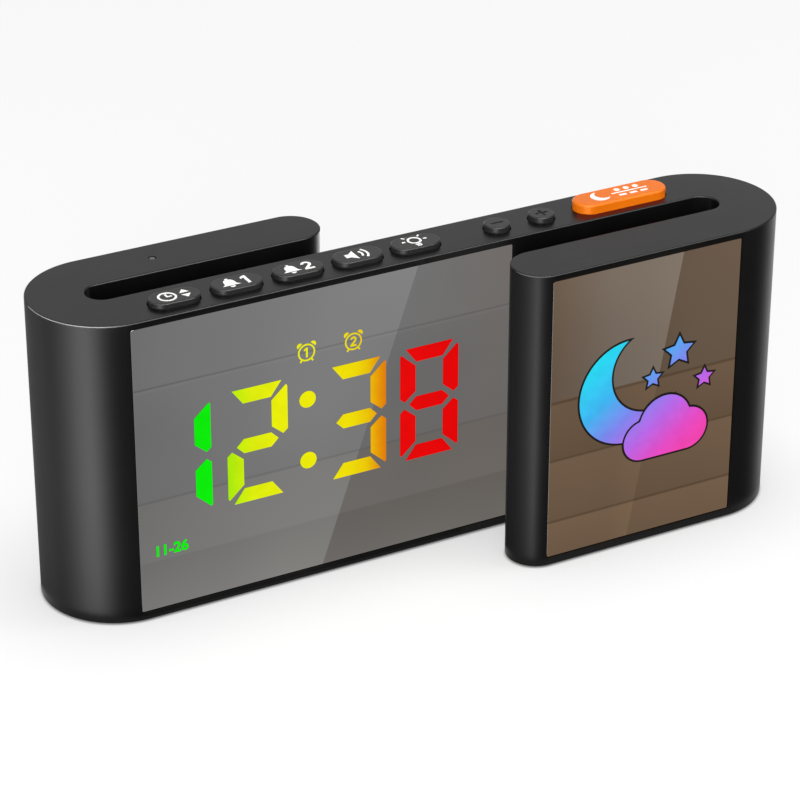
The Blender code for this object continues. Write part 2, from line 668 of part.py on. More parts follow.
def build_bottom():
    cover = slab("bottom_cover", [band(HALF_INSIDE - GAP)], FOOT_HEIGHT, BASE_TOP, DARK_ABS)
    columns = column_places()
    feet = foot_places()
    for name, shares, front, back, board_bottom, _ in boards():
        outlines = bars(shares, POST_LENGTH, front, back)
        join(cover, slab(name + "_posts", outlines, BASE_TOP - BASE_THICKNESS / 2, board_bottom - GAP))
    head_top = FOOT_HEIGHT + SCREW_HEAD_HEIGHT + 2 * GAP
    cut(cover,
        slab("head_holes", [circle(at, SCREW_HEAD_RADIUS + GAP) for at in columns.values()], 0, head_top),
        slab("shank_holes", [circle(at, SCREW_RADIUS + GAP) for at in columns.values()], 0,
             BASE_TOP + OVERCUT),
        slab("foot_holes", [circle(at, FOOT_RADIUS + GAP) for at in feet.values()], 0,
             FOOT_HEIGHT + FOOT_SINK + GAP))
    for name, at in columns.items():
        screw("base_screw_" + name, (*at, FOOT_HEIGHT + GAP), BASE_SCREW_LENGTH)
    for name, at in feet.items():
        pad = slab("foot_" + name, [circle((0, 0), FOOT_RADIUS)], 0, FOOT_HEIGHT + FOOT_SINK, RUBBER, at)
        rounded(pad, GAP, segments=1)


# Mirror panels and the films behind them

def build_panels():
    for name, row_y, edges in (("time", 0, TIME_PANEL), ("light", -ROW_Y, LIGHT_PANEL)):
        face = row_y - HALF_WING + PANEL_SINK
        wing_window(name + "_mirror_panel", edges, FIT, face, face + PANEL_THICKNESS, HALF_MIRROR)
        film = row_y + FILM_FRONT
        wing_window(name + "_film", edges, LEDGE - FILM_LAP, film, film + FILM, SMOKED_FILM)


# Display: reflector with a light well for each segment, board with an LED in each well

def build_display():
    slab("digit_reflector", [box(*reflector_edges())] + light_wells(), WELLS_FRONT,
         WELLS_FRONT + WELL_DEPTH, WHITE_ABS, upright=True)
    edges = display_board_edges()
    board = slab("display_board", [box(*edges)], BOARD_FRONT, BOARD_BACK, CIRCUIT_BOARD, upright=True)
    rear_cable = BEND_RADIUS - RIBBON_RADIUS
    front_cable = RIBBON_RADIUS - BEND_RADIUS
    clear = RIBBON / 2 + GAP
    join(board,
         leds("display_leds", [middle_of(outline) for outline in light_wells()], BOARD_FRONT),
         plug("display_rear_plug", RIBBON_REACH - BEND_X, REAR_RIBBON_Z, BOARD_BACK - BOARD / 4,
              rear_cable - clear),
         plug("display_front_plug", edges[1], FRONT_RIBBON_Z, front_cable + clear,
              BOARD_FRONT + BOARD / 4))


# Night light: open box behind the front panel's film and an LED board behind the box

def build_night_light():
    x, z = LIGHT_CENTRE
    slab("light_box", [box(*light_box_edges(LIGHT_BOX_WALL)), box(*light_box_edges(0))],
         WELLS_FRONT - ROW_Y, WELLS_FRONT + WELL_DEPTH - ROW_Y, WHITE_ABS, upright=True)
    front = BOARD_FRONT - ROW_Y
    back = BOARD_BACK - ROW_Y
    board = slab("light_board", [box(*light_board_edges())], front, back, CIRCUIT_BOARD, upright=True)
    centres = [(x + column * LIGHT_LED_PITCH[0], z + row * LIGHT_LED_PITCH[1] / 2)
               for column in (-1, 0, 1) for row in (-1, 1)]
    cable = -BEND_RADIUS - RIBBON_RADIUS
    join(board,
         leds("night_leds", centres, front),
         plug("light_plug", light_board_edges()[1], FRONT_RIBBON_Z, back - BOARD / 4,
              cable - RIBBON / 2 - GAP))


# Buttons with their switches, and the board that the switches stand on

def build_buttons():
    rims = (WELLS_FRONT, HALF_INSIDE - 2 * GAP)
    underside = BUTTON_BOARD_TOP - BOARD
    end = BEND_X + BUTTON_BOARD_LAP
    slab("button_board", [box(-end, end, *rims)] + [circle(at, SCREW_RADIUS + GAP) for at in BOSS_PLACES],
         underside, BUTTON_BOARD_TOP, CIRCUIT_BOARD)
    for number, at in enumerate(BOSS_PLACES, start=1):
        screw(f"board_screw_{number}", (*at, underside - GAP - SCREW_HEAD_HEIGHT), BOARD_SCREW_LENGTH)

    switch_foot = BUTTON_BOARD_TOP + GAP
    switch_top = switch_foot + SWITCH_HEIGHT
    well_floor = switch_top - SWITCH_WELL
    plunger_foot = well_floor + TRAVEL + GAP
    plunger_top = plunger_foot + PLUNGER_HEIGHT
    ears_top = ROOF_UNDERSIDE - GAP
    ears_foot = ears_top - EAR_THICKNESS
    middle = (0, 0)
    for name, x, (length, width), proud in BUTTONS:
        at = (x, BUTTON_Y)
        finish = ORANGE_ABS if name == "snooze" else BUTTON_ABS
        narrow = width - NECK_INSET
        button = slab(name + "_button", [oval(middle, length, width)], ROOF_UNDERSIDE, HEIGHT + proud,
                      finish, at)
        rounded(button, BUTTON_EDGE)
        join(button,
             slab(name + "_neck", [oval(middle, length - NECK_INSET, narrow)], ears_foot, IN_ROOF, at=at),
             slab(name + "_ears", [oval(middle, length + 2 * EAR, narrow)], ears_foot, ears_top, at=at),
             slab(name + "_stem", [circle(middle, STEM_RADIUS)], plunger_top + GAP, ears_top, at=at))
        body = slab(name + "_switch", [centred_box(middle, (SWITCH_SIDE, SWITCH_SIDE))], switch_foot,
                    switch_top, DARK_ABS, at)
        cut(body, slab(name + "_well", [circle(middle, PLUNGER_RADIUS + RUN)], well_floor,
                       switch_top + OVERCUT, at=at))
        slab(name + "_plunger", [circle(middle, PLUNGER_RADIUS)], plunger_foot, plunger_top, WHITE_ABS, at)


# Main board in the rear wing, with the power inlet

def build_main_board():
    board = slab("main_board", [box(*main_board_edges())], MAIN_BOARD_FRONT, MAIN_BOARD_BACK,
                 CIRCUIT_BOARD, upright=True)
    chip_centre = (CHIP_ALONG * BEND_X, CHIP_UP * HEIGHT)
    cable = BEND_RADIUS + RIBBON_RADIUS
    join(board,
         plug("main_plug", RIBBON_REACH - BEND_X, REAR_RIBBON_Z, cable + RIBBON / 2 + GAP,
              MAIN_BOARD_FRONT + BOARD / 4),
         slab("controller", [centred_box(chip_centre, CHIP)], MAIN_BOARD_BACK - BOARD / 4,
              MAIN_BOARD_BACK + CHIP_HEIGHT, upright=True))

    mouth = REAR_FACE - INLET_SINK
    floor = mouth - INLET_DEPTH
    socket = slab("power_inlet", [oval(INLET_CENTRE, *INLET)], MAIN_BOARD_BACK + GAP, mouth, STEEL,
                  upright=True)
    inside = oval(INLET_CENTRE, INLET[0] - 2 * INLET_SHELL, INLET[1] - 2 * INLET_SHELL)
    cut(socket, slab("inlet_inside", [inside], floor, mouth + OVERCUT, upright=True))
    join(socket, slab("inlet_tongue", [centred_box(INLET_CENTRE, INLET_TONGUE)], floor - OVERCUT,
                      mouth - INLET_SHELL, upright=True))


# Coin cell in its holder, under a screwed door in the back

def build_cell():
    seat = MAIN_BOARD_BACK + GAP
    floor = seat + HOLDER_FLOOR
    rim = floor + GAP + CELL_THICKNESS
    inner = CELL_RADIUS + GAP
    holder = slab("cell_holder", [circle(CELL_CENTRE, inner + HOLDER_WALL)], seat, rim, DARK_ABS,
                  upright=True)
    cut(holder, slab("holder_inside", [circle(CELL_CENTRE, inner)], floor, rim + OVERCUT, upright=True))
    step = CELL_RADIUS * 0.85
    profile = [(0, CELL_THICKNESS), (step, CELL_THICKNESS), (step, CELL_THICKNESS - 0.2),
               (CELL_RADIUS, CELL_THICKNESS - 0.5), (CELL_RADIUS, 0.3), (CELL_RADIUS - 0.3, 0), (0, 0)]
    turned("coin_cell", profile, (CELL_CENTRE[0], floor + GAP, CELL_CENTRE[1]), STEEL, TO_BACK)

    door = slab("battery_door", [rounded_box(*battery_door_edges(FIT), DOOR_CORNER - FIT)],
                DOOR_FACE - DOOR_THICKNESS, DOOR_FACE, BLACK_ABS, upright=True)
    pad_foot = REAR_INSIDE - GAP
    head_seat = DOOR_FACE - SCREW_HEAD_HEIGHT - 2 * GAP
    join(door, slab("door_pad", [circle(DOOR_SCREW, DOOR_PAD_RADIUS)], pad_foot, DOOR_FACE - GAP,
                    upright=True))
    cut(door,
        slab("door_head_hole", [circle(DOOR_SCREW, SCREW_HEAD_RADIUS + GAP)], head_seat,
             DOOR_FACE + OVERCUT, upright=True),
        slab("door_shank_hole", [circle(DOOR_SCREW, SCREW_RADIUS + GAP)], pad_foot - OVERCUT, DOOR_FACE,
             upright=True))
    screw("battery_door_screw", (DOOR_SCREW[0], DOOR_FACE - GAP, DOOR_SCREW[1]), DOOR_SCREW_LENGTH,
          TO_FRONT)


# Light pipe of the brightness sensor, in the rear wing's top

def build_sensor():
    top = HEIGHT - FIT
    collar = SENSOR_LENGTH - (top - ROOF_UNDERSIDE + GAP)
    profile = [(0, SENSOR_LENGTH), (SENSOR_RADIUS, SENSOR_LENGTH), (SENSOR_RADIUS, collar),
               (2 * SENSOR_RADIUS, collar), (2 * SENSOR_RADIUS, 0), (0, 0)]
    turned("light_sensor", profile, (SENSOR_ALONG * BEND_X, ROW_Y, top - SENSOR_LENGTH), CLEAR_ACRYLIC)


# Speaker: basket with its magnet, and the cone in it, facing the grille

def build_speaker():
    x, z = SPEAKER_CENTRE
    base = (x, HALF_INSIDE - GAP - SPEAKER_DEPTH, z)
    top = SPEAKER_DEPTH
    rim = SPEAKER_RADIUS - SPEAKER_RIM
    hub = SPEAKER_RADIUS * 0.35
    dish = top * 0.45
    lip = top - SPEAKER_RIM
    lift = GAP * 1.3
    skin = GAP
    basket = [(0, dish), (hub, dish), (rim, lip), (rim, top), (SPEAKER_RADIUS, top),
              (SPEAKER_RADIUS, lip - GAP), (MAGNET_RADIUS + 1, dish - 2 * GAP),
              (MAGNET_RADIUS, dish - 2 * GAP), (MAGNET_RADIUS, 0), (0, 0)]
    turned("speaker_frame", basket, base, DARK_ABS, TO_BACK)
    cone = [(0, dish + lift + 4 * skin), (hub * 0.6, dish + lift + 3 * skin), (hub, dish + lift + skin),
            (rim - GAP, lip + lift + skin), (rim - GAP, lip + lift), (hub, dish + lift), (0, dish + lift)]
    turned("speaker_cone", cone, base, PAPER_CONE, TO_BACK)


# Flat cables round the two ends, from board to board

def ribbon(name, side, rear_end, front_end, height):
    """Strip on edge: round the left end with side -1, round the right end with side 1."""
    centre = (side * BEND_X, -side * BEND_RADIUS)
    half = RIBBON / 2
    rear_y = centre[1] + RIBBON_RADIUS
    front_y = centre[1] - RIBBON_RADIUS
    outline = [(rear_end, rear_y - half), (rear_end, rear_y + half)]
    outline += arc(centre, RIBBON_RADIUS + half, 90, -side * 180)
    outline += [(front_end, front_y - half), (front_end, front_y + half)]
    outline += arc(centre, RIBBON_RADIUS - half, -90, side * 180)
    slab(name, [outline], height - RIBBON_WIDTH / 2, height + RIBBON_WIDTH / 2, WHITE_CABLE)


def build_ribbons():
    left_end = RIBBON_REACH - BEND_X
    ribbon("rear_ribbon", -1, left_end, left_end, REAR_RIBBON_Z)
    plug_span = PLUG_LENGTH + PLUG_INSET
    ribbon("front_ribbon", 1, display_board_edges()[1] - plug_span, light_board_edges()[1] - plug_span,
           FRONT_RIBBON_Z)


build_housing()
build_bottom()
build_panels()
build_display()
build_night_light()
build_buttons()
build_main_board()
build_cell()
build_sensor()
build_speaker()
build_ribbons()
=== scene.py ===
from math import acos, atan2, cos, degrees, pi, radians, sin, sqrt

import bmesh
import bpy
from mathutils import Matrix, Vector


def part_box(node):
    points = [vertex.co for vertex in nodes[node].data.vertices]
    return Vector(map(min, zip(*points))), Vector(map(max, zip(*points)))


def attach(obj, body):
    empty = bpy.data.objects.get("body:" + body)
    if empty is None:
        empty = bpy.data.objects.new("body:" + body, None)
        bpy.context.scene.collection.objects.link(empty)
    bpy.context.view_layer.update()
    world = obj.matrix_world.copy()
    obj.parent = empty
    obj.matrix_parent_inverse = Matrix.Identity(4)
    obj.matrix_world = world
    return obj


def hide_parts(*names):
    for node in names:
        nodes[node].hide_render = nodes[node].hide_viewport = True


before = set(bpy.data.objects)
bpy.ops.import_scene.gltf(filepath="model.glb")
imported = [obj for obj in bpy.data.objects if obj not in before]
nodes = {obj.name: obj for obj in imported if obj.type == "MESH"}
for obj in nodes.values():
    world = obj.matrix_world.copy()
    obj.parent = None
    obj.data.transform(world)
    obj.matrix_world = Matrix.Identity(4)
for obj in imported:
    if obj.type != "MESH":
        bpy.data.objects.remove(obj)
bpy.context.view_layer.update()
scene = bpy.context.scene
MM = 0.001                # places and sizes are given in millimetres


# Stage: a wide white table under soft lamps, seen from the left and a little above with a long
# lens. The table and the world are brighter for rays that look at them than for those that light
# the clock, so that their white is plain while the clock stays dark.

def feed(tree, node, sockets):
    """Give each socket its value, or a link where that is another node's output."""
    for key, value in sockets.items():
        if isinstance(value, bpy.types.NodeSocket):
            tree.links.new(value, node.inputs[key])
        else:
            node.inputs[key].default_value = value


def add(tree, kind, sockets=None, **settings):
    """Add a node with its settings and sockets."""
    made = tree.nodes.new(kind)
    for name, value in settings.items():
        setattr(made, name, value)
    feed(tree, made, sockets or {})
    return made


def seen_directly(tree):
    """One for camera, glossy and transmission rays, nothing for diffuse ones."""
    path = add(tree, "ShaderNodeLightPath")
    seen = path.outputs["Is Camera Ray"]
    for other in ("Is Glossy Ray", "Is Transmission Ray"):
        seen = add(tree, "ShaderNodeMath", {0: seen, 1: path.outputs[other]}, operation="MAXIMUM").outputs[0]
    return seen


def empty_material(name):
    made = bpy.data.materials.new(name)
    made.use_nodes = True
    made.node_tree.nodes.clear()
    return made, made.node_tree


def link(name, data):
    made = bpy.data.objects.new(name, data)
    scene.collection.objects.link(made)
    return made


def sheet(name, points, faces, material):
    """Mesh object of the stage from points in millimetres."""
    mesh = bpy.data.meshes.new(name)
    mesh.from_pydata([Vector(point) * MM for point in points], [], faces)
    mesh.materials.append(material)
    made = link(name, mesh)
    return made


TABLE_GLOW = 0.75         # what the table gives by itself
TABLE_SHADE = 0.24        # and what it adds where the lamps reach it
# Painted shade: the table's own glow is made darker where the clock stands close, deep under its edge and
# softly around it.
CREVICE_SHADE, NEAR_SHADE = 0.8 * MM, 26 * MM
paper, paper_tree = empty_material("white_table")
crevice_painted_shade = add(paper_tree, "ShaderNodeAmbientOcclusion", {"Distance": CREVICE_SHADE}, samples=8)
near_painted_shade = add(paper_tree, "ShaderNodeAmbientOcclusion", {"Distance": NEAR_SHADE}, samples=8)
near_level = add(paper_tree, "ShaderNodeMapRange",
                 {"Value": near_painted_shade.outputs["AO"], "To Min": 0.62 * TABLE_GLOW, "To Max": TABLE_GLOW})
table_level = add(paper_tree, "ShaderNodeMath", {0: near_level.outputs[0], 1: crevice_painted_shade.outputs["AO"]},
                  operation="MULTIPLY")
paper_glow = add(paper_tree, "ShaderNodeEmission", {"Strength": table_level.outputs[0]})
paper_seen = add(paper_tree, "ShaderNodeBsdfDiffuse", {"Color": (TABLE_SHADE, TABLE_SHADE, TABLE_SHADE, 1)})
paper_lit = add(paper_tree, "ShaderNodeBsdfDiffuse", {"Color": (0.55, 0.55, 0.55, 1)})
paper_sum = add(paper_tree, "ShaderNodeAddShader", {0: paper_glow.outputs[0], 1: paper_seen.outputs[0]})
paper_mix = add(paper_tree, "ShaderNodeMixShader",
                {0: seen_directly(paper_tree), 1: paper_lit.outputs[0], 2: paper_sum.outputs[0]})
add(paper_tree, "ShaderNodeOutputMaterial", {"Surface": paper_mix.outputs[0]})
REACH = 4000
CORNERS = ((-1, -1), (1, -1), (1, 1), (-1, 1))
sheet("table", [(x * REACH, y * REACH, 0) for x, y in CORNERS], [(0, 1, 2, 3)], paper)

world = bpy.data.worlds.new("studio")
scene.world = world
world.use_nodes = True
world_tree = world.node_tree
world_tree.nodes.clear()
sky_level = add(world_tree, "ShaderNodeMapRange",
                {"Value": seen_directly(world_tree), "To Min": 0.5, "To Max": 1.0})
sky = add(world_tree, "ShaderNodeBackground", {"Color": (1, 1, 1, 1), "Strength": sky_level.outputs[0]})
add(world_tree, "ShaderNodeOutputWorld", {"Surface": sky.outputs[0]})


def softbox(name, centre, target, width, height, radiance):
    """Area lamp at a place that faces another and shines with the given radiance."""
    lamp = bpy.data.lights.new(name, "AREA")
    lamp.shape = "RECTANGLE"
    lamp.size = width * MM
    lamp.size_y = height * MM
    lamp.energy = radiance * pi * lamp.size * lamp.size_y
    made = link(name, lamp)
    made.location = Vector(centre) * MM
    made.rotation_euler = (Vector(target) - Vector(centre)).to_track_quat("-Z", "Y").to_euler()
    made.visible_camera = False


softbox("overhead", (-100, -150, 900), (0, 0, 40), 900, 700, 1.0)
softbox("key_lamp", (400, -230, 800), (0, 0, 60), 220, 220, 11.0)
softbox("front_fill", (-450, -700, 300), (0, 0, 60), 400, 300, 14.0)

EYE = Vector((-331.647, -607.734, 396.408))
YAW, PITCH, ROLL = radians(28.398), radians(27.368), radians(0.0497)
camera_data = bpy.data.cameras.new("camera")
camera_data.lens = 141.391
camera_data.sensor_width = 36.0
camera_data.clip_start = 0.01
camera = link("camera", camera_data)
camera.matrix_world = (Matrix.Translation(EYE * MM) @ Matrix.Rotation(-YAW, 4, "Z")
                       @ Matrix.Rotation(pi / 2 - PITCH, 4, "X") @ Matrix.Rotation(ROLL, 4, "Z"))
scene.camera = camera
scene.view_settings.view_transform = "Standard"


# Housing: one shell of black ABS, moulded as an S-shaped band of three upright wings with a flat
# top and open underneath. Panels, keys and door sit in openings of the same moulding.

WING = 7.5                # half the thickness of a wing
WALL = 2.4
INSIDE = WING - WALL
TOP = 80.0
ROOF = 2.0                # thickness of the roof
UNDERSIDE = 0.35          # the shell hides its shallow feet
ROW = 23.5                # from the middle wing's centre to a short wing's
BEND = 75.25              # centres of the round ends
TURN = ROW / 2 + WING     # and their radius
TIP = 22.0                # centres of the short wings' tips
FRONT_TIP = 22.6          # the front wing's skin is a little shorter
REAR_TIP = 21.1           # and the rear wing's a little longer
SLOT_END = 76.1           # centres of the slots' round ends
ROUNDING = 0.4


def arc(centre, radius, start, sweep, steps):
    """Points along an arc in degrees, both ends included."""
    turns = [radians(start + sweep * index / steps) for index in range(steps + 1)]
    return [(centre[0] + radius * cos(turn), centre[1] + radius * sin(turn)) for turn in turns]


def band(half, front_tip=TIP, rear_tip=TIP, slot_end=BEND):
    """The S-shaped outline, always with the same number of points."""
    outline = arc((-rear_tip, ROW), half, -90, 180, 36)
    outline += arc((-BEND, ROW / 2), ROW / 2 + half, 90, 180, 64)
    outline += arc((slot_end, -ROW / 2), ROW / 2 - half, 90, -180, 24)
    outline += arc((front_tip, -ROW), half, 90, 180, 36)
    outline += arc((BEND, -ROW / 2), ROW / 2 + half, -90, 180, 64)
    outline += arc((-slot_end, ROW / 2), ROW / 2 - half, 270, -180, 24)
    return outline


def flat_ring(outline, height):
    return [(x, y, height) for x, y in outline]


def upright_ring(outline, depth):
    return [(x, depth, z) for x, z in outline]


def loft(name, rings):
    """Solid over rings with equal numbers of points; its ends may be single points."""
    skin = bmesh.new()
    rows = [[skin.verts.new(Vector(point) * MM) for point in ring] for ring in rings]
    for low, high in zip(rows, rows[1:]):
        for index in range(max(len(low), len(high))):
            corners = (low[index % len(low)], low[(index + 1) % len(low)],
                       high[(index + 1) % len(high)], high[index % len(high)])
            skin.faces.new(list(dict.fromkeys(corners)))
    for end in (rows[0], rows[-1]):
        if len(end) > 1:
            skin.faces.new(end)
    bmesh.ops.recalc_face_normals(skin, faces=skin.faces)
    mesh = bpy.data.meshes.new(name)
    skin.to_mesh(mesh)
    skin.free()
    return link(name, mesh)


def settle(piece):
    """Make the result of a piece's modifiers its plain mesh."""
    evaluated = piece.evaluated_get(bpy.context.evaluated_depsgraph_get())
    mesh = bpy.data.meshes.new_from_object(evaluated)
    piece.modifiers.clear()
    piece.data = mesh
    return piece


def carve(piece, cutters):
    """Cut other pieces out of one."""
    for cutter in cutters:
        step = piece.modifiers.new(cutter.name, "BOOLEAN")
        step.operation = "DIFFERENCE"
        step.object = cutter
        step.solver = "EXACT"
    settle(piece)
    for cutter in cutters:
        bpy.data.objects.remove(cutter)
    return piece


def soften(piece, width, angle=50):
    """Break the sharp edges, as a mould does."""
    edge = piece.modifiers.new("edge", "BEVEL")
    edge.width = width * MM
    edge.segments = 2
    edge.limit_method = "ANGLE"
    edge.angle_limit = radians(angle)
    return settle(piece)


def smooth(piece, angle=30):
    """Smooth shading that keeps flat faces flat."""
    piece.data.shade_smooth()
    piece.data.set_sharp_from_angle(angle=radians(angle))
    weigh = piece.modifiers.new("weigh", "WEIGHTED_NORMAL")
    weigh.keep_sharp = True
    return settle(piece)


def fit(piece, body, material, slot, *stands_for):
    """Give a finished piece its material and body, and the CAD nodes that it stands for."""
    piece.data.materials.clear()
    piece.data.materials.append(material)
    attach(piece, body)
    if stands_for:
        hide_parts(*stands_for)


def rounded_box(left, right, bottom, top, radius):
    outline = []
    for start, x, y in ((0, right - radius, top - radius), (90, left + radius, top - radius),
                        (180, left + radius, bottom + radius), (270, right - radius, bottom + radius)):
        outline += arc((x, y), radius, start, 90, 6)
    return outline


def circle(centre, radius, steps=32):
    return arc(centre, radius, 0, 360, steps)[:-1]


def oval(centre, length, width, steps=20):
    reach = (length - width) / 2
    right = arc((centre[0] + reach, centre[1]), width / 2, -90, 180, steps)
    return right + arc((centre[0] - reach, centre[1]), width / 2, 90, 180, steps)


def pad(name, outline, low, high, ring=flat_ring):
    """Solid with one outline between two planes."""
    return loft(name, [ring(outline, low), ring(outline, high)])


def edge_of(node, margin=0.0):
    """Left, right, bottom and top of an upright CAD node, moved out by the margin."""
    low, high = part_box(node)
    return low.x / MM - margin, high.x / MM + margin, low.z / MM - margin, high.z / MM + margin


def copies(name, original, places, material):
    """Geometry Nodes put a copy of one piece on each of the places."""
    tree = bpy.data.node_groups.new("copies_on_places", "GeometryNodeTree")
    tree.interface.new_socket("Geometry", in_out="INPUT", socket_type="NodeSocketGeometry")
    tree.interface.new_socket("Geometry", in_out="OUTPUT", socket_type="NodeSocketGeometry")
    piece = tree.interface.new_socket("Piece", in_out="INPUT", socket_type="NodeSocketObject")
    skin = tree.interface.new_socket("Material", in_out="INPUT", socket_type="NodeSocketMaterial")
    start = add(tree, "NodeGroupInput")
    points = add(tree, "GeometryNodeMeshToPoints", {"Mesh": start.outputs["Geometry"]})
    shape = add(tree, "GeometryNodeObjectInfo", {"Object": start.outputs["Piece"]})
    spread = add(tree, "GeometryNodeInstanceOnPoints",
                 {"Points": points.outputs[0], "Instance": shape.outputs["Geometry"]})
    real = add(tree, "GeometryNodeRealizeInstances", {0: spread.outputs[0]})
    finished = add(tree, "GeometryNodeSetMaterial",
                   {"Geometry": real.outputs[0], "Material": start.outputs["Material"]})
    add(tree, "NodeGroupOutput", {0: finished.outputs[0]})
    mesh = bpy.data.meshes.new(name)
    mesh.from_pydata([Vector(place) * MM for place in places], [], [])
    made = link(name, mesh)
    step = made.modifiers.new("copies", "NODES")
    step.node_group = tree
    step[piece.identifier] = original
    step[skin.identifier] = material
    settle(made)
    bpy.data.objects.remove(original)
    return made


def linear(code):
    """Linear colour of an sRGB hex value."""
    values = [int(code[start:start + 2], 16) / 255 for start in (0, 2, 4)]
    return (*[v / 12.92 if v <= 0.04045 else ((v + 0.055) / 1.055) ** 2.4 for v in values], 1.0)


def shaded_material(name):
    """New material, with its tree, its shader and the place on the piece."""
    made = bpy.data.materials.new(name)
    made.use_nodes = True
    tree = made.node_tree
    return made, tree, tree.nodes["Principled BSDF"], add(tree, "ShaderNodeTexCoord").outputs["Object"]


NOISE = {"From Min": 0.3, "From Max": 0.7}      # where most of a noise's values lie


def moulded(name, colour, roughness, specular, grain=0.5, depth=0.004):
    """Moulded plastic: a satin skin with the spark-eroded grain of its mould.

    The eye sees an even colour that breaks up very slightly at the grain, and a soft, wide gloss
    that changes a little from place to place. Real grain is 0.05 mm wide and is drawn wider here,
    so that it shows.
    """
    made, tree, shader, place = shaded_material(name)
    flow = add(tree, "ShaderNodeTexNoise", {"Vector": place, "Scale": 1 / (14 * MM), "Detail": 2.0})
    bits = add(tree, "ShaderNodeTexNoise", {"Vector": place, "Scale": 1 / (grain * MM), "Detail": 1.5})
    tone = add(tree, "ShaderNodeMapRange",
               {"Value": flow.outputs[0], **NOISE, "To Min": 0.94, "To Max": 1.06})
    speck = add(tree, "ShaderNodeMapRange",
                {"Value": bits.outputs[0], **NOISE, "To Min": 0.93, "To Max": 1.07})
    both = add(tree, "ShaderNodeMath", {0: tone.outputs[0], 1: speck.outputs[0]}, operation="MULTIPLY")
    shade = add(tree, "ShaderNodeVectorMath", {0: linear(colour)[:3], "Scale": both.outputs[0]},
                operation="SCALE")
    rough = add(tree, "ShaderNodeMapRange", {"Value": flow.outputs[0], **NOISE,
                                             "To Min": roughness - 0.03, "To Max": roughness + 0.03})
    bump = add(tree, "ShaderNodeBump", {"Height": bits.outputs[0], "Distance": depth * MM, "Strength": 1.0})
    feed(tree, shader, {"Specular IOR Level": specular, "Base Color": shade.outputs[0],
                        "Roughness": rough.outputs[0], "Normal": bump.outputs[0]})
    return made


black_abs = moulded("black_abs_satin", "0A0A0A", 0.30, 0.115)

skin_rings = [(turn, UNDERSIDE + ROUNDING) for turn in (-90, -60, -30, 0)]
skin_rings += [(turn, TOP - ROUNDING) for turn in (0, 22.5, 45, 67.5, 90)]
shell_rings = [flat_ring(band(INSIDE), TOP - ROOF), flat_ring(band(INSIDE), UNDERSIDE)]
for turn, height in skin_rings:
    half = WING - ROUNDING * (1 - cos(radians(turn)))
    shell_rings.append(flat_ring(band(half, FRONT_TIP, REAR_TIP, SLOT_END),
                                 height + ROUNDING * sin(radians(turn))))
shell = loft("housing_shell", shell_rings)

KEY_LINE = -0.75          # the keys stand a little in front of the middle wing's centre
KEY_ROOM = 0.25           # round a key in its opening
# Each key's name, centre, length, width and top.
OVAL_KEYS = [(name, x, 12.9, 7.0, 81.4) for name, x in (
    ("time", -63.4), ("alarm_1", -47.25), ("alarm_2", -31.1), ("volume", -15.1), ("light", 0.7))]
ROUND_KEYS = [(name, x, 6.6, 6.6, 81.5) for name, x in (("minus", 23.4), ("plus", 36.05))]
SNOOZE_BAR = ("snooze", 58.6, 26.0, 8.1, 82.4)
KEYS = [*OVAL_KEYS, *ROUND_KEYS, SNOOZE_BAR]
BACK = ROW + WING
THROUGH_ROOF = (TOP - ROOF - 0.3, TOP + 1)
INTO_BEND = 0.4           # how far a mirror sheet's left edge reaches into the round part of its wing
RECESS = 1.65             # depth of a mirror sheet's recess
LEDGE = 1.6               # width of the ledge that it lies on
CLEAR = 0.15              # round a fitted piece in its recess
openings = []


def mirror_edges(panel, margin=0.0):
    """Left, right, bottom and top of a mirror sheet, moved out by the margin."""
    left, right, bottom, top = edge_of(panel + "_mirror_panel", margin)
    return left - INTO_BEND, right, bottom, top


for panel, row in (("time", 0), ("light", -ROW)):
    recess = rounded_box(*mirror_edges(panel, CLEAR), 0.6)
    window = rounded_box(*mirror_edges(panel, CLEAR - LEDGE), 0.3)
    face = row - WING
    openings.append(pad(panel + "_recess", recess, face - 1, face + RECESS, upright_ring))
    openings.append(pad(panel + "_window", window, face - 1, row - INSIDE + CLEAR, upright_ring))
for key, x, length, width, _ in KEYS:
    key_hole = oval((x, KEY_LINE), length + 2 * KEY_ROOM, width + 2 * KEY_ROOM)
    openings.append(pad(key + "_hole", key_hole, *THROUGH_ROOF))
openings.append(pad("sensor_hole", circle((-58.0, ROW), 1.0), *THROUGH_ROOF))
grille_hole = pad("grille_hole", circle((0, 0), 0.9, 20), -WALL - 0.3, 1, upright_ring)
grille_places = [(0, 0)] + arc((0, 0), 3.6, 0, 360, 6)[:-1] + arc((0, 0), 7.2, 0, 360, 12)[:-1]
openings.append(copies("grille_holes", grille_hole, [(54.0 + x, WING, 42.0 + z) for x, z in grille_places],
                       black_abs))
door_recess = rounded_box(*edge_of("battery_door", CLEAR), 2.5)
openings.append(pad("door_recess", door_recess, BACK - 1.6, BACK + 1, upright_ring))
left, right, bottom, top = edge_of("power_inlet")
inlet_opening = oval(((left + right) / 2, (bottom + top) / 2), 9.6, 4.0)
openings.append(pad("inlet_opening", inlet_opening, BACK - WALL - 0.5, BACK + 1, upright_ring))
carve(shell, openings)
smooth(soften(shell, 0.1), 38)
fit(shell, "clock", black_abs, "black_abs", "housing")


# Gloss of the housing: the satin walls mirror a bright studio softly, as painted highlights and painted
# reflections. Sheets that only glossy surfaces see, and only from the front, glow to stand for its
# lamps and dark places: curtains close to the round walls, small strips of light at the rims, cards
# behind, and grades on the table.

painted_gloss_glow, glow_tree = empty_material("painted_gloss_glow")
glow_level = add(glow_tree, "ShaderNodeAttribute", attribute_name="level")
glow = add(glow_tree, "ShaderNodeEmission", {"Color": glow_level.outputs["Color"]})
nothing = add(glow_tree, "ShaderNodeBsdfTransparent")
from_behind = add(glow_tree, "ShaderNodeNewGeometry").outputs["Backfacing"]
one_way = add(glow_tree, "ShaderNodeMixShader", {0: from_behind, 1: glow.outputs[0], 2: nothing.outputs[0]})
add(glow_tree, "ShaderNodeOutputMaterial", {"Surface": one_way.outputs[0]})


